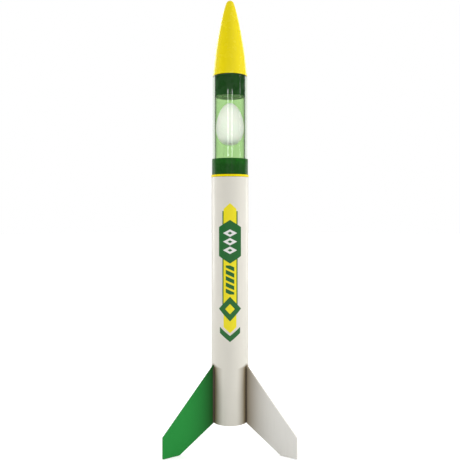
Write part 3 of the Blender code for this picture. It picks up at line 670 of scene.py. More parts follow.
def cord_shape(route, radius, sides):
    """A round cord along a route, with its distance round and along it kept as its UV map."""
    shape = bmesh.new()
    uv = shape.loops.layers.uv.new("cord")
    normal = (route[1] - route[0]).orthogonal()
    rings, along = [], [0.0]
    for i, centre in enumerate(route):
        direction = (route[min(i + 1, len(route) - 1)] - route[max(i - 1, 0)]).normalized()
        normal = (normal - direction * normal.dot(direction)).normalized()
        side = direction.cross(normal)
        rings.append(ring_of(shape, centre, normal, side, radius, sides))
        if i:
            along.append(along[-1] + (centre - route[i - 1]).length)
    for index, face in enumerate(skin(shape, rings)):
        i, k = divmod(index, sides)
        places = ((k, i), (k + 1, i), (k + 1, i + 1), (k, i + 1))
        for loop, (turn, row) in zip(face.loops, places):
            loop[uv].uv = (turn / sides, along[row])
    return shape


def piece(name, shape, finish, body, replaces=(), sharp=40.0, closed=True):
    """Turns a shape drawn in millimetres about the centreline into a finished piece that rides on a body."""
    if closed:
        bmesh.ops.remove_doubles(shape, verts=shape.verts, dist=1e-4)
        bmesh.ops.recalc_face_normals(shape, faces=shape.faces)
    bmesh.ops.transform(shape, matrix=TO_FRAME, verts=shape.verts)
    mesh = bpy.data.meshes.new(name)
    shape.to_mesh(mesh)
    shape.free()
    mesh.shade_smooth()
    mesh.set_sharp_from_angle(angle=math.radians(sharp))
    mesh.materials.append(finish_named(finish))
    made = bpy.data.objects.new(name, mesh)
    bpy.context.scene.collection.objects.link(made)
    if body:
        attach(made, body)
    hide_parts(*replaces)
    return made


def tube_piece(node, name, inner, edge, finish, body, steps=96):
    """A plain tube or ring with rounded edges, which stands for a CAD node as wide and as tall."""
    outline = rounded(ring_outline(inner, reach(node), low(node), high(node)), edge)
    return piece(name, turned(outline, steps), finish, body, [node])


def soften(made, width, segments=3, angle=40.0):
    """Rounds a piece's sharp edges."""
    bevel = made.modifiers.new("soft_edges", "BEVEL")
    bevel.width = width * MM
    bevel.segments = segments
    bevel.limit_method = "ANGLE"
    bevel.angle_limit = math.radians(angle)
    bevel.harden_normals = True


def refined(node, name, finish, body, width):
    """A merged copy of a CAD node with soft edges, which stands for it."""
    shape = bmesh.new()
    shape.from_mesh(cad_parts[node].data)
    bmesh.ops.remove_doubles(shape, verts=shape.verts, dist=1e-6)
    bmesh.ops.join_triangles(shape, faces=shape.faces, angle_face_threshold=math.radians(1),
                             angle_shape_threshold=math.pi)
    bmesh.ops.transform(shape, matrix=TO_FRAME.inverted(), verts=shape.verts)
    made = piece(name, shape, finish, body, [node], closed=False)
    soften(made, width)
    return made


def grown(name, tree, values):
    """Runs a geometry tree with its named inputs set, and returns the result as a shape."""
    carrier = bpy.data.objects.new(name, bpy.data.meshes.new(name))
    bpy.context.scene.collection.objects.link(carrier)
    modifier = carrier.modifiers.new("shape", "NODES")
    modifier.node_group = tree
    for item in tree.interface.items_tree:
        if item.item_type == "SOCKET" and item.in_out == "INPUT":
            modifier[item.identifier] = values[item.name]
    evaluated = carrier.evaluated_get(bpy.context.evaluated_depsgraph_get())
    mesh = bpy.data.meshes.new_from_object(evaluated)
    shape = bmesh.new()
    shape.from_mesh(mesh)
    bpy.data.objects.remove(carrier)
    bpy.data.meshes.remove(mesh)
    return shape


def geometry_tree(name, inputs):
    """An empty geometry tree with its named inputs, and its input node's outputs by name."""
    tree = bpy.data.node_groups.new(name, "GeometryNodeTree")
    tree.interface.new_socket("Geometry", in_out="OUTPUT", socket_type="NodeSocketGeometry")
    for label, kind in inputs.items():
        tree.interface.new_socket(label, in_out="INPUT", socket_type="NodeSocket" + kind)
    nodes = Nodes(tree)
    return nodes, nodes.add("NodeGroupInput").outputs


def close_tree(nodes, geometry, material):
    """Ends a geometry tree with realised instances and the piece's material."""
    real = nodes.add("GeometryNodeRealizeInstances", {"Geometry": geometry})
    dressed = nodes.add("GeometryNodeSetMaterial", {"Geometry": real.outputs[0], "Material": material})
    nodes.add("NodeGroupOutput", {"Geometry": dressed.outputs[0]})
    return nodes.tree


def nose_tree():
    """The cone's skin: a grid wrapped round the centreline by the Haack rule, with a round tip."""
    nodes, given = geometry_tree("nose_skin", {
        "Base radius": "Float", "Length": "Float", "Curve length": "Float", "Tip height": "Float",
        "Blunting": "Float", "Rings": "Int", "Segments": "Int", "Material": "Material"})
    grid = nodes.add("GeometryNodeMeshGrid", {"Size X": 1.0, "Size Y": 1.0, "Vertices X": given["Rings"],
                                              "Vertices Y": given["Segments"]})
    position = nodes.add("GeometryNodeInputPosition").outputs[0]
    place = nodes.add("ShaderNodeSeparateXYZ", {"Vector": position}).outputs
    share = nodes.math("POWER", nodes.plus(place[0], 0.5), 1.8)
    angle = nodes.times(nodes.plus(place[1], 0.5), math.tau)
    below_tip = nodes.times(share, given["Length"])
    missing = nodes.minus(given["Curve length"], given["Length"])
    along = nodes.over(nodes.plus(below_tip, missing), given["Curve length"])
    theta = nodes.math("ARCCOSINE", nodes.minus(1.0, nodes.times(along, 2.0)))
    twice = nodes.math("SINE", nodes.times(theta, 2.0))
    swell = nodes.minus(theta, nodes.times(twice, 0.5))
    curve = nodes.math("SQRT", nodes.over(swell, math.pi))
    fade = nodes.math("EXPONENT", nodes.times(nodes.over(below_tip, given["Blunting"]), -1.0))
    tip = nodes.math("SQRT", nodes.minus(1.0, fade))
    radius = nodes.times(nodes.times(curve, tip), given["Base radius"])
    point = nodes.add("ShaderNodeCombineXYZ", {
        "X": nodes.times(radius, nodes.math("COSINE", angle)),
        "Y": nodes.times(radius, nodes.math("SINE", angle)),
        "Z": nodes.minus(given["Tip height"], below_tip)})
    wrapped = nodes.add("GeometryNodeSetPosition", {
        "Geometry": grid.outputs["Mesh"], "Position": point.outputs[0]})
    merged = nodes.add("GeometryNodeMergeByDistance", {"Geometry": wrapped.outputs[0], "Distance": 0.0005})
    return close_tree(nodes, merged.outputs[0], given["Material"])


def spokes_tree():
    """Equal ribs round the centreline, each a box whose ends lie at two radii."""
    nodes, given = geometry_tree("spokes", {
        "Count": "Int", "Inner radius": "Float", "Outer radius": "Float", "Bottom": "Float", "Top": "Float",
        "Thickness": "Float", "Material": "Material"})
    depth = nodes.minus(given["Outer radius"], given["Inner radius"])
    height = nodes.minus(given["Top"], given["Bottom"])
    size = nodes.add("ShaderNodeCombineXYZ", {"X": depth, "Y": given["Thickness"], "Z": height})
    box = nodes.add("GeometryNodeMeshCube", {"Size": size.outputs[0]})
    middle = nodes.add("ShaderNodeCombineXYZ", {
        "X": nodes.times(nodes.plus(given["Outer radius"], given["Inner radius"]), 0.5),
        "Z": nodes.times(nodes.plus(given["Top"], given["Bottom"]), 0.5)})
    rib = nodes.add("GeometryNodeTransform", {
        "Geometry": box.outputs["Mesh"], "Translation": middle.outputs[0]})
    points = nodes.add("GeometryNodePoints", {"Count": given["Count"]})
    turn = nodes.times(nodes.add("GeometryNodeInputIndex").outputs[0],
                      nodes.over(math.tau, given["Count"]))
    facing = nodes.add("ShaderNodeCombineXYZ", {"Z": turn})
    spokes = nodes.add("GeometryNodeInstanceOnPoints", {
        "Points": points.outputs[0], "Instance": rib.outputs[0], "Rotation": facing.outputs[0]})
    return close_tree(nodes, spokes.outputs[0], given["Material"])


# --- Stage and soft pieces ----------------------------------------------------------------------

CAMERA_DISTANCE = 0.742
CAMERA_HEIGHT = 0.3183
LENS = 43.0
CAMERA_SHIFT = -0.05
FLOOR_RADIUS = 6.0
FLOOR_DROP = 0.0003  # how far the floor lies under the fins' feet
FLOOR_GLOW = 0.55
LAMP_DISTANCE = 1.5
FRONT_TURN = 47.0  # azimuth of the dim sector, to the left of the camera
SIDE_LIGHT = 0.95
FRONT_LIGHT = 0.24
MIRRORED_FRONT = 0.1  # what the rocket's reflections show of the studio's front
LAMPS = (  # name, azimuth, bottom, top, width, brightness, mirrored, lights
    ("left_box", -90.0, 0.0, 1.2, 0.6, 3.3, False, True),
    ("right_box", 88.0, 0.0, 1.2, 0.6, 2.2, False, True),
    ("left_rim", -120.0, 0.0, 0.48, 0.45, 4.5, True, False),
    ("right_rim", 124.0, 0.0, 0.48, 0.35, 3.5, True, False),
    ("nose_rim_left", -140.0, 0.87, 1.4, 0.9, 4.2, True, False),
    ("nose_rim_right", 143.0, 0.87, 1.4, 0.8, 3.4, True, False),
    ("streak_left", -13.3, 0.52, 0.79, 0.22, 7.0, True, True),
    ("streak_right", 13.3, 0.52, 0.79, 0.22, 7.0, True, True),
    ("edge_streak", 69.0, 0.45, 0.93, 0.09, 4.0, True, True),
    ("egg_light", 4.0, 0.85, 1.45, 0.5, 21.0, False, True),
)


def lamp(name, azimuth, bottom, top, width, brightness, mirrored, lights):
    """An upright lamp that faces the rocket, at an azimuth to the right of the camera.

    Only a mirrored lamp is seen in the rocket's reflections, and only one that lights brightens its paint."""
    light = bpy.data.lights.new(name, "AREA")
    light.shape = "RECTANGLE"
    light.size = width
    light.size_y = top - bottom
    light.energy = brightness * math.pi * width * (top - bottom)
    made = bpy.data.objects.new(name, light)
    made.visible_glossy = mirrored
    made.visible_diffuse = lights
    made.visible_transmission = False
    bpy.context.scene.collection.objects.link(made)
    turn = math.radians(azimuth)
    away = Vector((math.sin(turn), -math.cos(turn), 0.0))
    made.location = Vector((0.0, CENTRE_Y, (top + bottom) / 2)) + away * LAMP_DISTANCE
    made.rotation_euler = away.to_track_quat("Z", "Y").to_euler()


def studio_world():
    """White all round, brightest at the sides and behind, and dimmer from the front left."""
    world = bpy.data.worlds.new("studio")
    bpy.context.scene.world = world
    world.use_nodes = True
    nodes = Nodes(world.node_tree)
    direction = nodes.add("ShaderNodeTexCoord").outputs["Generated"]
    front_left = (-math.sin(math.radians(FRONT_TURN)), -math.cos(math.radians(FRONT_TURN)), 0.0)
    facing = nodes.add("ShaderNodeVectorMath", {0: direction, 1: front_left},
                       operation="DOT_PRODUCT").outputs["Value"]
    cast = nodes.ranged(facing, 0.1, 0.85, SIDE_LIGHT, FRONT_LIGHT, interpolation_type="SMOOTHSTEP")
    behind = nodes.add("ShaderNodeSeparateXYZ", {"Vector": direction}).outputs[1]
    mirrored = nodes.ranged(behind, 0.47, 0.77, MIRRORED_FRONT, SIDE_LIGHT)
    rays = nodes.add("ShaderNodeLightPath").outputs
    bent = nodes.math("MAXIMUM", rays["Is Glossy Ray"], rays["Is Transmission Ray"])
    strength = nodes.between(seen_directly(nodes), nodes.between(bent, cast, mirrored), 1.0)
    background = world.node_tree.nodes["Background"]
    nodes.put(background.inputs["Strength"], strength)
    background.inputs["Color"].default_value = (1.0, 1.0, 1.0, 1.0)


class ROCKET_OT_stage(Operator):
    """The floor, the studio light and the camera"""

    bl_idname = "rocket.stage"
    bl_label = "Stage"

    def execute(self, context):
        scene = context.scene
        scene.view_settings.view_transform = "Standard"
        studio_world()
        for values in LAMPS:
            lamp(*values)
        shape = bmesh.new()
        bmesh.ops.create_circle(shape, cap_ends=True, segments=96, radius=FLOOR_RADIUS)
        mesh = bpy.data.meshes.new("studio_floor")
        shape.to_mesh(mesh)
        shape.free()
        mesh.materials.append(floor_paint())
        stage = bpy.data.objects.new("studio_floor", mesh)
        stage.location.z = -FLOOR_DROP
        scene.collection.objects.link(stage)
        camera = bpy.data.objects.new("camera", bpy.data.cameras.new("camera"))
        camera.data.lens = LENS
        camera.data.shift_y = CAMERA_SHIFT
        camera.location = (0.0, CENTRE_Y - CAMERA_DISTANCE, CAMERA_HEIGHT)
        camera.rotation_euler = (math.radians(90), 0.0, 0.0)
        scene.collection.objects.link(camera)
        scene.camera = camera
        return {"FINISHED"}


def floor_paint():
    """Matt white floor paint that glows a little where the camera sees it, so that shadows stay faint."""
    material = bpy.data.materials.new("pale_floor")
    material.use_nodes = True
    nodes = Nodes(material.node_tree)
    shader = material.node_tree.nodes["Principled BSDF"]
    shader.inputs["Base Color"].default_value = (0.8, 0.8, 0.8, 1.0)
    shader.inputs["Roughness"].default_value = 0.9
    shader.inputs["Emission Color"].default_value = (1.0, 1.0, 1.0, 1.0)
    nodes.put(shader.inputs["Emission Strength"], nodes.times(seen_directly(nodes), FLOOR_GLOW))
    return material


def coil_points(turns, pitch, radius, bottom, start_turn, per_turn=24):
    """Points of a coil that winds up counter-clockwise from a starting angle."""
    count = round(turns * per_turn)
    points = []
    for i in range(count + 1):
        share = i / per_turn
        angle = start_turn + math.tau * share
        points.append((radius * math.cos(angle), radius * math.sin(angle), bottom + pitch * share))
    return points


COIL_START = math.radians(240)
COIL_TURNS = 22 / 3
COIL_CLEARANCE = 0.02  # left between one turn and the next
EYE_WIRE = 1.1  # radius of the screw eye's wire


class ROCKET_OT_shock_cord(Operator):
    """The elastic shock cord from the anchor pad to the screw eye, with its coil and its knot"""

    bl_idname = "rocket.shock_cord"
    bl_label = "Shock cord"

    def execute(self, context):
        sizes = context.scene.rocket_sizes
        radius = sizes.coil_radius / MM
        diameter = sizes.cord_diameter / MM
        start_radius = math.hypot(*ANCHOR_LEAD[-1][:2])
        start_angle = math.atan2(*reversed(ANCHOR_LEAD[-1][:2])) % math.tau
        bottom = ANCHOR_LEAD[-1][2]
        inward = []
        for k in range(1, 4):
            t = k / 4
            angle = start_angle + (COIL_START - start_angle) * t
            turn_radius = start_radius + (radius - start_radius) * t * t * (3 - 2 * t)
            inward.append((turn_radius * math.cos(angle), turn_radius * math.sin(angle), bottom))
        coil = coil_points(COIL_TURNS, diameter + COIL_CLEARANCE, radius, bottom, COIL_START)
        route = smooth_route(ANCHOR_LEAD + inward + coil + EYE_LEAD, 2)
        shape = cord_shape(route, diameter / 2, 14)
        cord = piece("shock_cord", shape, "shock_braid", None,
                     ["shock_cord_coil", "shock_cord_to_anchor", "shock_cord_to_eye"], 60.0, closed=False)
        knot = self.knot(diameter)
        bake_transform(cord)
        return {"FINISHED"}

    def knot(self, diameter):
        """The cord's end: round the eye's lower wire and three times round itself."""
        bottom, top = low("shock_cord_knot"), high("shock_cord_knot")
        thin = 0.42 * diameter
        wire = low("screw_eye") + EYE_WIRE
        bend = EYE_WIRE + thin + 0.1
        wraps = coil_points(2.5, 1.5, reach("shock_cord_knot") - thin, bottom + thin, math.radians(270), 16)
        over = []
        for k in range(9):
            angle = math.radians(200 - 220 * k / 8)
            over.append((0.12 * (k - 4), bend * math.cos(angle), wire + bend * math.sin(angle)))
        tail = [(0.7, 1.1, top - 2.4), (0.6, 0.9, bottom - 1.6), (1.0, 0.7, bottom - 4.4)]
        start = [(0.0, 0.0, bottom - 0.6), (-0.5, -0.9, bottom + 0.4)]
        route = smooth_route(start + wraps + over + tail, 2)
        return piece("shock_cord_end_knot", cord_shape(route, thin, 12), "shock_braid", "payload",
                     ["shock_cord_knot"], 60.0, closed=False)


END_FRILL, END_DROP = 1.5, 1.4  # how far the roll's ends wave, and how far they lie inside its height
END_PINCH, CREASE = 0.1, 0.035  # shares of the roll's radius
ROLL_START = 1.6  # radius of the roll's innermost turn


class ROCKET_OT_parachute(Operator):
    """The rolled canopy and the shroud lines wound round it"""

    bl_idname = "rocket.parachute"
    bl_label = "Parachute"

    def execute(self, context):
        sizes = context.scene.rocket_sizes
        self.canopy(sizes)
        self.lines(sizes)
        return {"FINISHED"}

    def canopy(self, sizes):
        """A film sheet rolled up from its middle, with wavy ends and soft creases."""
        bottom, top = low("parachute_canopy"), high("parachute_canopy")
        outer = reach("parachute_canopy") - 0.8
        inner, pitch = ROLL_START, sizes.film_pitch / MM
        turns = (outer - inner) / pitch
        steps, rows = round(turns * 56), 14
        shape = bmesh.new()
        before = None
        for i in range(steps + 1):
            share = i / steps
            radius, angle = inner + (outer - inner) * share, turns * math.tau * share
            column = []
            for j in range(rows + 1):
                t = j / rows
                wave = noise.noise(Vector((2.2 * math.cos(angle), 2.2 * math.sin(angle), 3.5 * t)))
                frill = noise.noise(Vector((0.8 * angle, share * 9.0, 4.0)))
                edge = (2 * t - 1) ** 5 * (END_FRILL * frill - END_DROP)
                pinch = 1.0 - END_PINCH * (2 * t - 1) ** 8 + CREASE * wave
                height = bottom + (top - bottom) * t + edge
                far = radius * pinch
                column.append(shape.verts.new((far * math.cos(angle), far * math.sin(angle), height)))
            if before:
                for j in range(rows):
                    shape.faces.new((before[j], column[j], column[j + 1], before[j + 1]))
            before = column
        canopy = piece("rolled_canopy", shape, "film", "airframe", ["parachute_canopy"], 60.0,
                       closed=False)

    def lines(self, sizes):
        """The six lines, laid side by side round the roll."""
        diameter = sizes.line_diameter / MM
        pitch = diameter + 0.05
        bottom = low("shroud_lines") + 0.6
        radius = reach("parachute_canopy") + GAP + diameter / 2 + 0.1
        winding = coil_points(sizes.line_turns, pitch, radius, bottom, math.radians(60), 30)
        route = [Vector(point) for point in winding]
        lines = piece("wound_shroud_lines", cord_shape(route, diameter / 2, 6), "line_braid", "airframe",
                      ["shroud_lines"], 80.0, closed=False)


class ROCKET_OT_cord_anchor(Operator):
    """The folded paper pad that holds the shock cord inside the tube"""

    bl_idname = "rocket.cord_anchor"
    bl_label = "Cord anchor"

    def execute(self, context):
        refined("cord_anchor", "anchor_pad", "folded_paper", "airframe", 0.35)
        return {"FINISHED"}


class ROCKET_OT_cushion(Operator):
    """The foam cushion on the payload base's bulkhead"""

    bl_idname = "rocket.cushion"
    bl_label = "Foam cushion"

    def execute(self, context):
        bottom, top, radius = low("foam_cushion"), high("foam_cushion"), reach("foam_cushion")
        pocket, pocket_top = 5.6, bottom + 5.3
        rings, crown = 10, 0.9
        outline = [(0.0, top - 0.05)]
        for k in range(1, rings + 1):
            share = k / rings
            outline.append((radius * (0.97 * share), top - crown * share ** 4))
        outline += [(radius - 0.1, top - 2.2), (radius, (top + bottom) / 2), (radius - 0.1, bottom + 1.6),
                    (radius - 1.2, bottom), (pocket, bottom), (pocket, pocket_top), (0.0, pocket_top)]
        shape = turned(outline, 96)
        for vertex in shape.verts:
            if vertex.co.z > pocket_top:
                vertex.co.z -= 0.5 * abs(noise.noise(vertex.co * 0.35))
        cushion = piece("egg_cushion", shape, "foam", "payload", ["foam_cushion"], 60.0)
        return {"FINISHED"}


# --- Nose and payload ---------------------------------------------------------------------------


class ROCKET_OT_nose_cone(Operator):
    """The hollow moulded cone"""

    bl_idname = "rocket.nose_cone"
    bl_label = "Nose cone"

    def execute(self, context):
        sizes = context.scene.rocket_sizes
        shape = grown("nose_skin", nose_tree(), {
            "Base radius": reach("nose_cone"), "Length": NOSE_TOP - NOSE_BOTTOM,
            "Curve length": sizes.nose_curve / MM, "Tip height": NOSE_TOP,
            "Blunting": sizes.nose_blunting / MM, "Rings": 97, "Segments": 129,
            "Material": finish_named("yellow_moulding")})
        cone = piece("nose_cone_shell", shape, "yellow_moulding", "nose", ["nose_cone"])
        wall = cone.modifiers.new("wall", "SOLIDIFY")
        wall.thickness = sizes.nose_wall
        wall.offset = -1.0
        wall.use_even_offset = False
        soften(cone, 0.22, 2, 50.0)
        return {"FINISHED"}


class ROCKET_OT_nose_plug(Operator):
    """The green cup under the cone, with its shoulder and spigot"""

    bl_idname = "rocket.nose_plug"
    bl_label = "Nose plug"

    def execute(self, context):
        sizes = context.scene.rocket_sizes
        wall = sizes.plug_wall / MM
        bottom = low("nose_plug")
        top = NOSE_BOTTOM + sizes.spigot_height / MM
        spigot = reach("nose_plug")
        shoulder = CLEAR_RADIUS - sizes.clear_wall / MM - GAP
        outline = [
            (spigot, top), (spigot, NOSE_BOTTOM), (shoulder, NOSE_BOTTOM), (shoulder, bottom), (0.0, bottom),
            (0.0, bottom + wall), (shoulder - wall, bottom + wall), (shoulder - wall, NOSE_BOTTOM + wall),
            (spigot - wall, NOSE_BOTTOM + wall + spigot - shoulder), (spigot - wall, top)]
        piece("nose_plug_cup", turned(rounded(outline, sizes.moulded_edge / MM)), "green_moulding", "nose",
              ["nose_plug"])
        return {"FINISHED"}


class ROCKET_OT_payload_tube(Operator):
    """The clear payload tube"""

    bl_idname = "rocket.payload_tube"
    bl_label = "Payload tube"

    def execute(self, context):
        bore = CLEAR_RADIUS - context.scene.rocket_sizes.clear_wall / MM
        tube_piece("payload_tube", "clear_payload_tube", bore, 0.3, "clear_tube", "payload",
                   160)
        return {"FINISHED"}


def egg_radius(height):
    """The egg's radius at a height: fuller below its widest line and leaner above it."""
    bottom, top, radius = low("egg"), high("egg"), reach("egg")
    widest = bottom + (top - bottom) * EGG_WIDEST_SHARE
    if height < widest:
        share = (widest - height) / (widest - bottom)
        return radius * max(0.0, 1 - share ** EGG_FULLNESS) ** (1 / EGG_FULLNESS)
    share = min(1.0, (height - widest) / (top - widest))
    return radius * math.sqrt(1 - share ** 2) * (1 - EGG_LEANNESS * share)


class ROCKET_OT_egg(Operator):
    """The hen's egg that the rocket carries"""

    bl_idname = "rocket.egg"
    bl_label = "Egg"

    def execute(self, context):
        bottom, top = low("egg"), high("egg")
        widest = bottom + (top - bottom) * EGG_WIDEST_SHARE
        count = 72
        outline = []
        for i in range(count + 1):
            angle = math.pi * i / count
            half = top - widest if angle < math.pi / 2 else widest - bottom
            height = widest + half * math.cos(angle)
            outline.append((0.0 if i in (0, count) else egg_radius(height), height))
        made = piece("hen_egg", turned(outline, 96), "eggshell", "egg", ["egg"])
        egg_light = bpy.data.objects.get("egg_light")
        if egg_light:
            lit = bpy.data.collections.new("lit_by_egg_light")
            lit.objects.link(made)
            egg_light.light_linking.receiver_collection = lit
        return {"FINISHED"}


class ROCKET_OT_egg_holders(Operator):
    """The clear cups under the egg and over it"""

    bl_idname = "rocket.egg_holders"
    bl_label = "Egg holders"

    def execute(self, context):
        refined("egg_cradle", "egg_cradle_cup", "clear_cup", "payload", 0.15)
        refined("egg_retainer", "egg_retainer_cup", "clear_cup", "nose", 0.15)
        return {"FINISHED"}


SHANK_HOLE = 1.8  # radius of the hole for the screw eye
RIB_START, RIB_HEIGHT, RIB_THICKNESS = 6.5, 6.0, 1.2
RIB_INTO_WALL, RIB_INTO_BULKHEAD = 0.4, 0.3  # how far a rib's ends run into what it stands on


class ROCKET_OT_payload_base(Operator):
    """The green collar with its bulkhead, gussets and shoulder"""

    bl_idname = "rocket.payload_base"
    bl_label = "Payload base"

    def execute(self, context):
        sizes = context.scene.rocket_sizes
        edge = sizes.moulded_edge / MM
        collar = reach("payload_base")
        socket = CLEAR_RADIUS + GAP
        bay = reach("foam_cushion") + GAP
        shoulder = TUBE_RADIUS - sizes.tube_wall / MM - GAP
        bore = shoulder - sizes.shoulder_wall / MM
        underside = COLLAR_BOTTOM - sizes.bulkhead / MM
        outline = [
            (collar, COLLAR_TOP), (collar, COLLAR_BOTTOM), (shoulder, COLLAR_BOTTOM),
            (shoulder, low("payload_base")), (bore, low("payload_base")), (bore, underside),
            (SHANK_HOLE, underside), (SHANK_HOLE, COLLAR_BOTTOM), (bay, COLLAR_BOTTOM), (bay, SOCKET_FLOOR),
            (socket, SOCKET_FLOOR), (socket, COLLAR_TOP)]
        piece("payload_base_collar", turned(rounded(outline, edge)), "green_moulding", "payload",
              ["payload_base"])
        ribs = grown("bulkhead_ribs", spokes_tree(), {
            "Count": sizes.rib_count, "Inner radius": RIB_START, "Outer radius": bore + RIB_INTO_WALL,
            "Bottom": underside - RIB_HEIGHT, "Top": underside + RIB_INTO_BULKHEAD,
            "Thickness": RIB_THICKNESS, "Material": finish_named("green_moulding")})
        made = piece("bulkhead_ribs", ribs, "green_moulding", "payload")
        soften(made, 0.25)
        return {"FINISHED"}


THREAD_PITCH, THREAD_DEPTH, THREAD_START = 0.5, 0.25, 0.3


class ROCKET_OT_screw_eye(Operator):
    """The screw eye under the bulkhead, with its washer and nut"""

    bl_idname = "rocket.screw_eye"
    bl_label = "Screw eye"

    def execute(self, context):
        sizes = context.scene.rocket_sizes
        underside = COLLAR_BOTTOM - sizes.bulkhead / MM
        flange_top = underside - GAP
        shank, flange = 1.5, reach("eye_washer") - 1.4
        eye = low("screw_eye") + reach("screw_eye")
        top = high("screw_eye")
        outline = [(0.0, top), (shank - THREAD_START, top)]
        count = int((top - flange_top - 0.4) / THREAD_PITCH)
        for k in range(count):
            crest = top - THREAD_START - k * THREAD_PITCH
            outline += [(shank, crest), (shank - THREAD_DEPTH, crest - THREAD_PITCH / 2)]
        outline += [(shank, flange_top + 0.05), (flange, flange_top), (flange, flange_top - 0.9),
                    (shank, flange_top - 1.1), (shank, eye + 4.0), (0.0, eye + 4.0)]
        shape = turned(outline, 48)
        major = reach("screw_eye") - EYE_WIRE
        steps, sides = 72, 18
        rings = []
        for i in range(steps):
            turn = math.tau * i / steps
            out = Vector((math.cos(turn), 0.0, math.sin(turn)))
            rings.append(ring_of(shape, Vector((0.0, 0.0, eye)) + out * major, out, BACK, EYE_WIRE, sides))
        skin(shape, rings + [rings[0]], ends=False)
        piece("screw_eye_wire", shape, "steel", "payload", ["screw_eye"])
        tube_piece("eye_washer", "screw_eye_washer", shank + GAP, 0.2, "steel", "payload", 64)
        refined("eye_nut", "screw_eye_nut", "steel", "payload", 0.3)
        return {"FINISHED"}


# --- Airframe -----------------------------------------------------------------------------------


class ROCKET_OT_body_tube(Operator):
    """The printed paper tube and the yellow ring on top of it"""

    bl_idname = "rocket.body_tube"
    bl_label = "Body tube and trim ring"

    def execute(self, context):
        bore = TUBE_RADIUS - context.scene.rocket_sizes.tube_wall / MM
        tube_piece("body_tube", "printed_body_tube", bore, 0.18, "printed_paper", "airframe",
                   160)
        tube_piece("trim_ring", "yellow_trim_ring", bore, 0.4, "yellow_trim", "airframe", 160)
        return {"FINISHED"}


def radial_frame(angle):
    """Turns an outline drawn as (radius, height) so that it stands on the centreline at that angle."""
    return Matrix.Rotation(math.radians(angle), 4, "Z") @ Matrix.Rotation(math.radians(90), 4, "X")


def extruded(outline, thickness, frame_matrix):
    """A flat plate from an outline, centred on its plane."""
    shape = bmesh.new()
    layers = []
    for height in (-0.5 * thickness, 0.5 * thickness):
        layers.append([shape.verts.new(frame_matrix @ Vector((*point, height))) for point in outline])
    skin(shape, layers)
    return shape


def add_fillet(shape, radius, half, side, bottom, top, turn):
    """Adds the hollow glue bead between a fin's side and the tube's skin."""
    section = []
    steps = 8
    centre = Vector((TUBE_RADIUS + radius, half + radius))
    for k in range(steps + 1):
        angle = math.radians(180 + 90 * k / steps)
        point = centre + Vector((math.cos(angle), math.sin(angle))) * radius
        on_skin = math.sqrt((TUBE_RADIUS - 0.05) ** 2 - point.y ** 2)
        section.append(Vector((on_skin + point.x - TUBE_RADIUS, point.y)))
    deep = math.sqrt((TUBE_RADIUS - 0.3) ** 2 - half ** 2)
    section += [Vector((section[-1].x, half - 0.3)), Vector((deep, half - 0.3))]
    layers = []
    for height, share in ((bottom, 0.35), (bottom + 0.8, 1.0), (top - 4.0, 1.0), (top, 0.3)):
        layer = []
        for point in section:
            across = half + (point.y - half) * share
            out = section[-1].x + (point.x - section[-1].x) * share
            layer.append(shape.verts.new(turn @ Vector((out, side * across, height))))
        layers.append(layer)
    skin(shape, layers)


class ROCKET_OT_fins(Operator):
    """The three fins with their glue fillets"""

    bl_idname = "rocket.fins"
    bl_label = "Fins"

    def execute(self, context):
        sizes = context.scene.rocket_sizes
        lowest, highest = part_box("fin_back_white")
        root, tip = (lowest.y - CENTRE_Y) / MM, (highest.y - CENTRE_Y) / MM
        half = (highest.x - lowest.x) / 2 / MM
        top, tail = highest.z / MM, low("body_tube") + GAP
        outline = [(root, top), (root, tail), (tip - sizes.fin_foot / MM, 0.0), (tip, 0.0),
                   (tip, sizes.fin_tip / MM)]
        for name, angle in (("fin_right_white", -30.0), ("fin_back_white", 90.0), ("fin_left_green", 210.0)):
            paint = name.rpartition("_")[2]
            plate = extruded(outline, 2 * half, radial_frame(angle))
            blade = piece(name + "_blade", plate, paint + "_fin", "airframe", [name])
            soften(blade, sizes.fin_edge / MM, 4)
            fillets = bmesh.new()
            for side in (-1.0, 1.0):
                add_fillet(fillets, sizes.fillet / MM, half, side, tail + 0.4, top - 1.6,
                           Matrix.Rotation(math.radians(angle), 4, "Z"))
            # The fillets' dark glue is partly painted shade along the roots.
            piece(name + "_fillets", fillets, "glue", "airframe")
        return {"FINISHED"}


class ROCKET_OT_launch_lugs(Operator):
    """The two straws beside the tube that the launch rod passes through"""

    bl_idname = "rocket.launch_lugs"
    bl_label = "Launch lugs"

    def execute(self, context):
        for node in ("launch_lug_lower", "launch_lug_upper"):
            lowest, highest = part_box(node)
            centre = ((lowest.x + highest.x) / 2 / MM, ((lowest.y + highest.y) / 2 - CENTRE_Y) / MM)
            outline = rounded(ring_outline(reach(node) - 0.45, reach(node), low(node), high(node)), 0.12)
            shape = turned(outline, 48, centre)
            away = Vector(centre).normalized()
            seat = Vector(centre) - away * (reach(node) + GAP / 2)
            for side in (-1.0, 1.0):
                bead = seat + Vector((-away.y, away.x)) * side * 0.9
                ends = [Vector((*bead, low(node) + 1.5)), Vector((*bead, high(node) - 1.5))]
                self.add_bead(shape, ends, 0.55)
            piece(node + "_straw", shape, "plain_paper", "airframe", [node])
        return {"FINISHED"}

    def add_bead(self, shape, ends, radius):
        """A thin glue bead along the lug, round at both ends."""
        steps, sides = 24, 12
        rings = []
        for i in range(steps + 1):
            fade = math.sqrt(max(0.02, 1 - abs(2 * i / steps - 1) ** 12))
            rings.append(ring_of(shape, ends[0].lerp(ends[1], i / steps), ACROSS, BACK, radius * fade, sides))
        skin(shape, rings)


THRUST_BORE = 9.5  # radius of the hole that the motor's gas passes


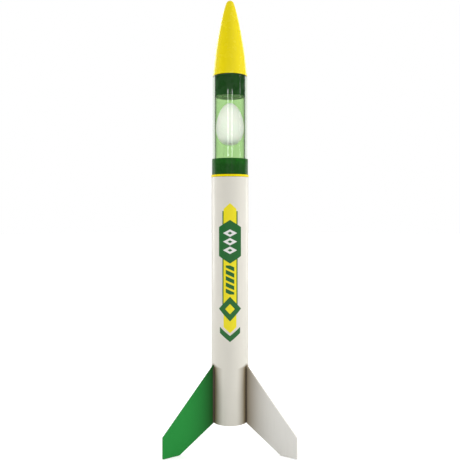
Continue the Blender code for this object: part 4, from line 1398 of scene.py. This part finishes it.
class ROCKET_OT_motor_mount(Operator):
    """The motor tube with its thrust ring, centring rings, hook and band"""

    bl_idname = "rocket.motor_mount"
    bl_label = "Motor mount"

    def execute(self, context):
        refined("motor_tube", "motor_tube_card", "kraft_card", "airframe", 0.12)
        refined("centering_ring_aft", "aft_centring_ring", "fibre_card", "airframe", 0.2)
        tube_piece("centering_ring_forward", "forward_centring_ring", reach("motor_tube") + GAP, 0.2,
                   "fibre_card", "airframe")
        tube_piece("thrust_ring", "thrust_ring_card", THRUST_BORE, 0.25, "kraft_card", "airframe")
        refined("hook_band", "hook_paper_band", "folded_paper", "airframe", 0.12)
        refined("motor_hook", "motor_hook_spring", "steel", "hook", 0.2)
        return {"FINISHED"}


# --- The add-on ---------------------------------------------------------------------------------

PIECE_OPERATORS = (
    ROCKET_OT_stage, ROCKET_OT_shock_cord, ROCKET_OT_parachute, ROCKET_OT_cord_anchor, ROCKET_OT_cushion,
    ROCKET_OT_nose_cone, ROCKET_OT_nose_plug, ROCKET_OT_payload_tube, ROCKET_OT_egg, ROCKET_OT_egg_holders,
    ROCKET_OT_payload_base, ROCKET_OT_screw_eye, ROCKET_OT_body_tube, ROCKET_OT_fins, ROCKET_OT_launch_lugs,
    ROCKET_OT_motor_mount)


class ROCKET_PT_panel(Panel):
    """Lists the rocket's sizes, colours and pieces"""

    bl_idname = "ROCKET_PT_panel"
    bl_label = "Egg rocket"
    bl_space_type = "VIEW_3D"
    bl_region_type = "UI"
    bl_category = "Rocket"

    def draw(self, context):
        for group in (context.scene.rocket_sizes, context.scene.rocket_colours):
            box = self.layout.box()
            for name in group.bl_rna.properties.keys():
                if name not in ("rna_type", "name"):
                    box.prop(group, name)
        for operator in PIECE_OPERATORS:
            self.layout.operator(operator.bl_idname)


CLASSES = (RocketSizes, RocketColours, *PIECE_OPERATORS, ROCKET_PT_panel)


def register():
    """Adds the classes and the two groups of values to Blender."""
    for added in CLASSES:
        bpy.utils.register_class(added)
    bpy.types.Scene.rocket_sizes = PointerProperty(type=RocketSizes)
    bpy.types.Scene.rocket_colours = PointerProperty(type=RocketColours)


def unregister():
    """Takes them away again."""
    del bpy.types.Scene.rocket_colours
    del bpy.types.Scene.rocket_sizes
    for added in reversed(CLASSES):
        bpy.utils.unregister_class(added)


def main():
    """Makes every piece in order."""
    register()
    for operator in PIECE_OPERATORS:
        family, name = operator.bl_idname.split(".")
        getattr(getattr(bpy.ops, family), name)()


if __name__ == "__main__":
    main()
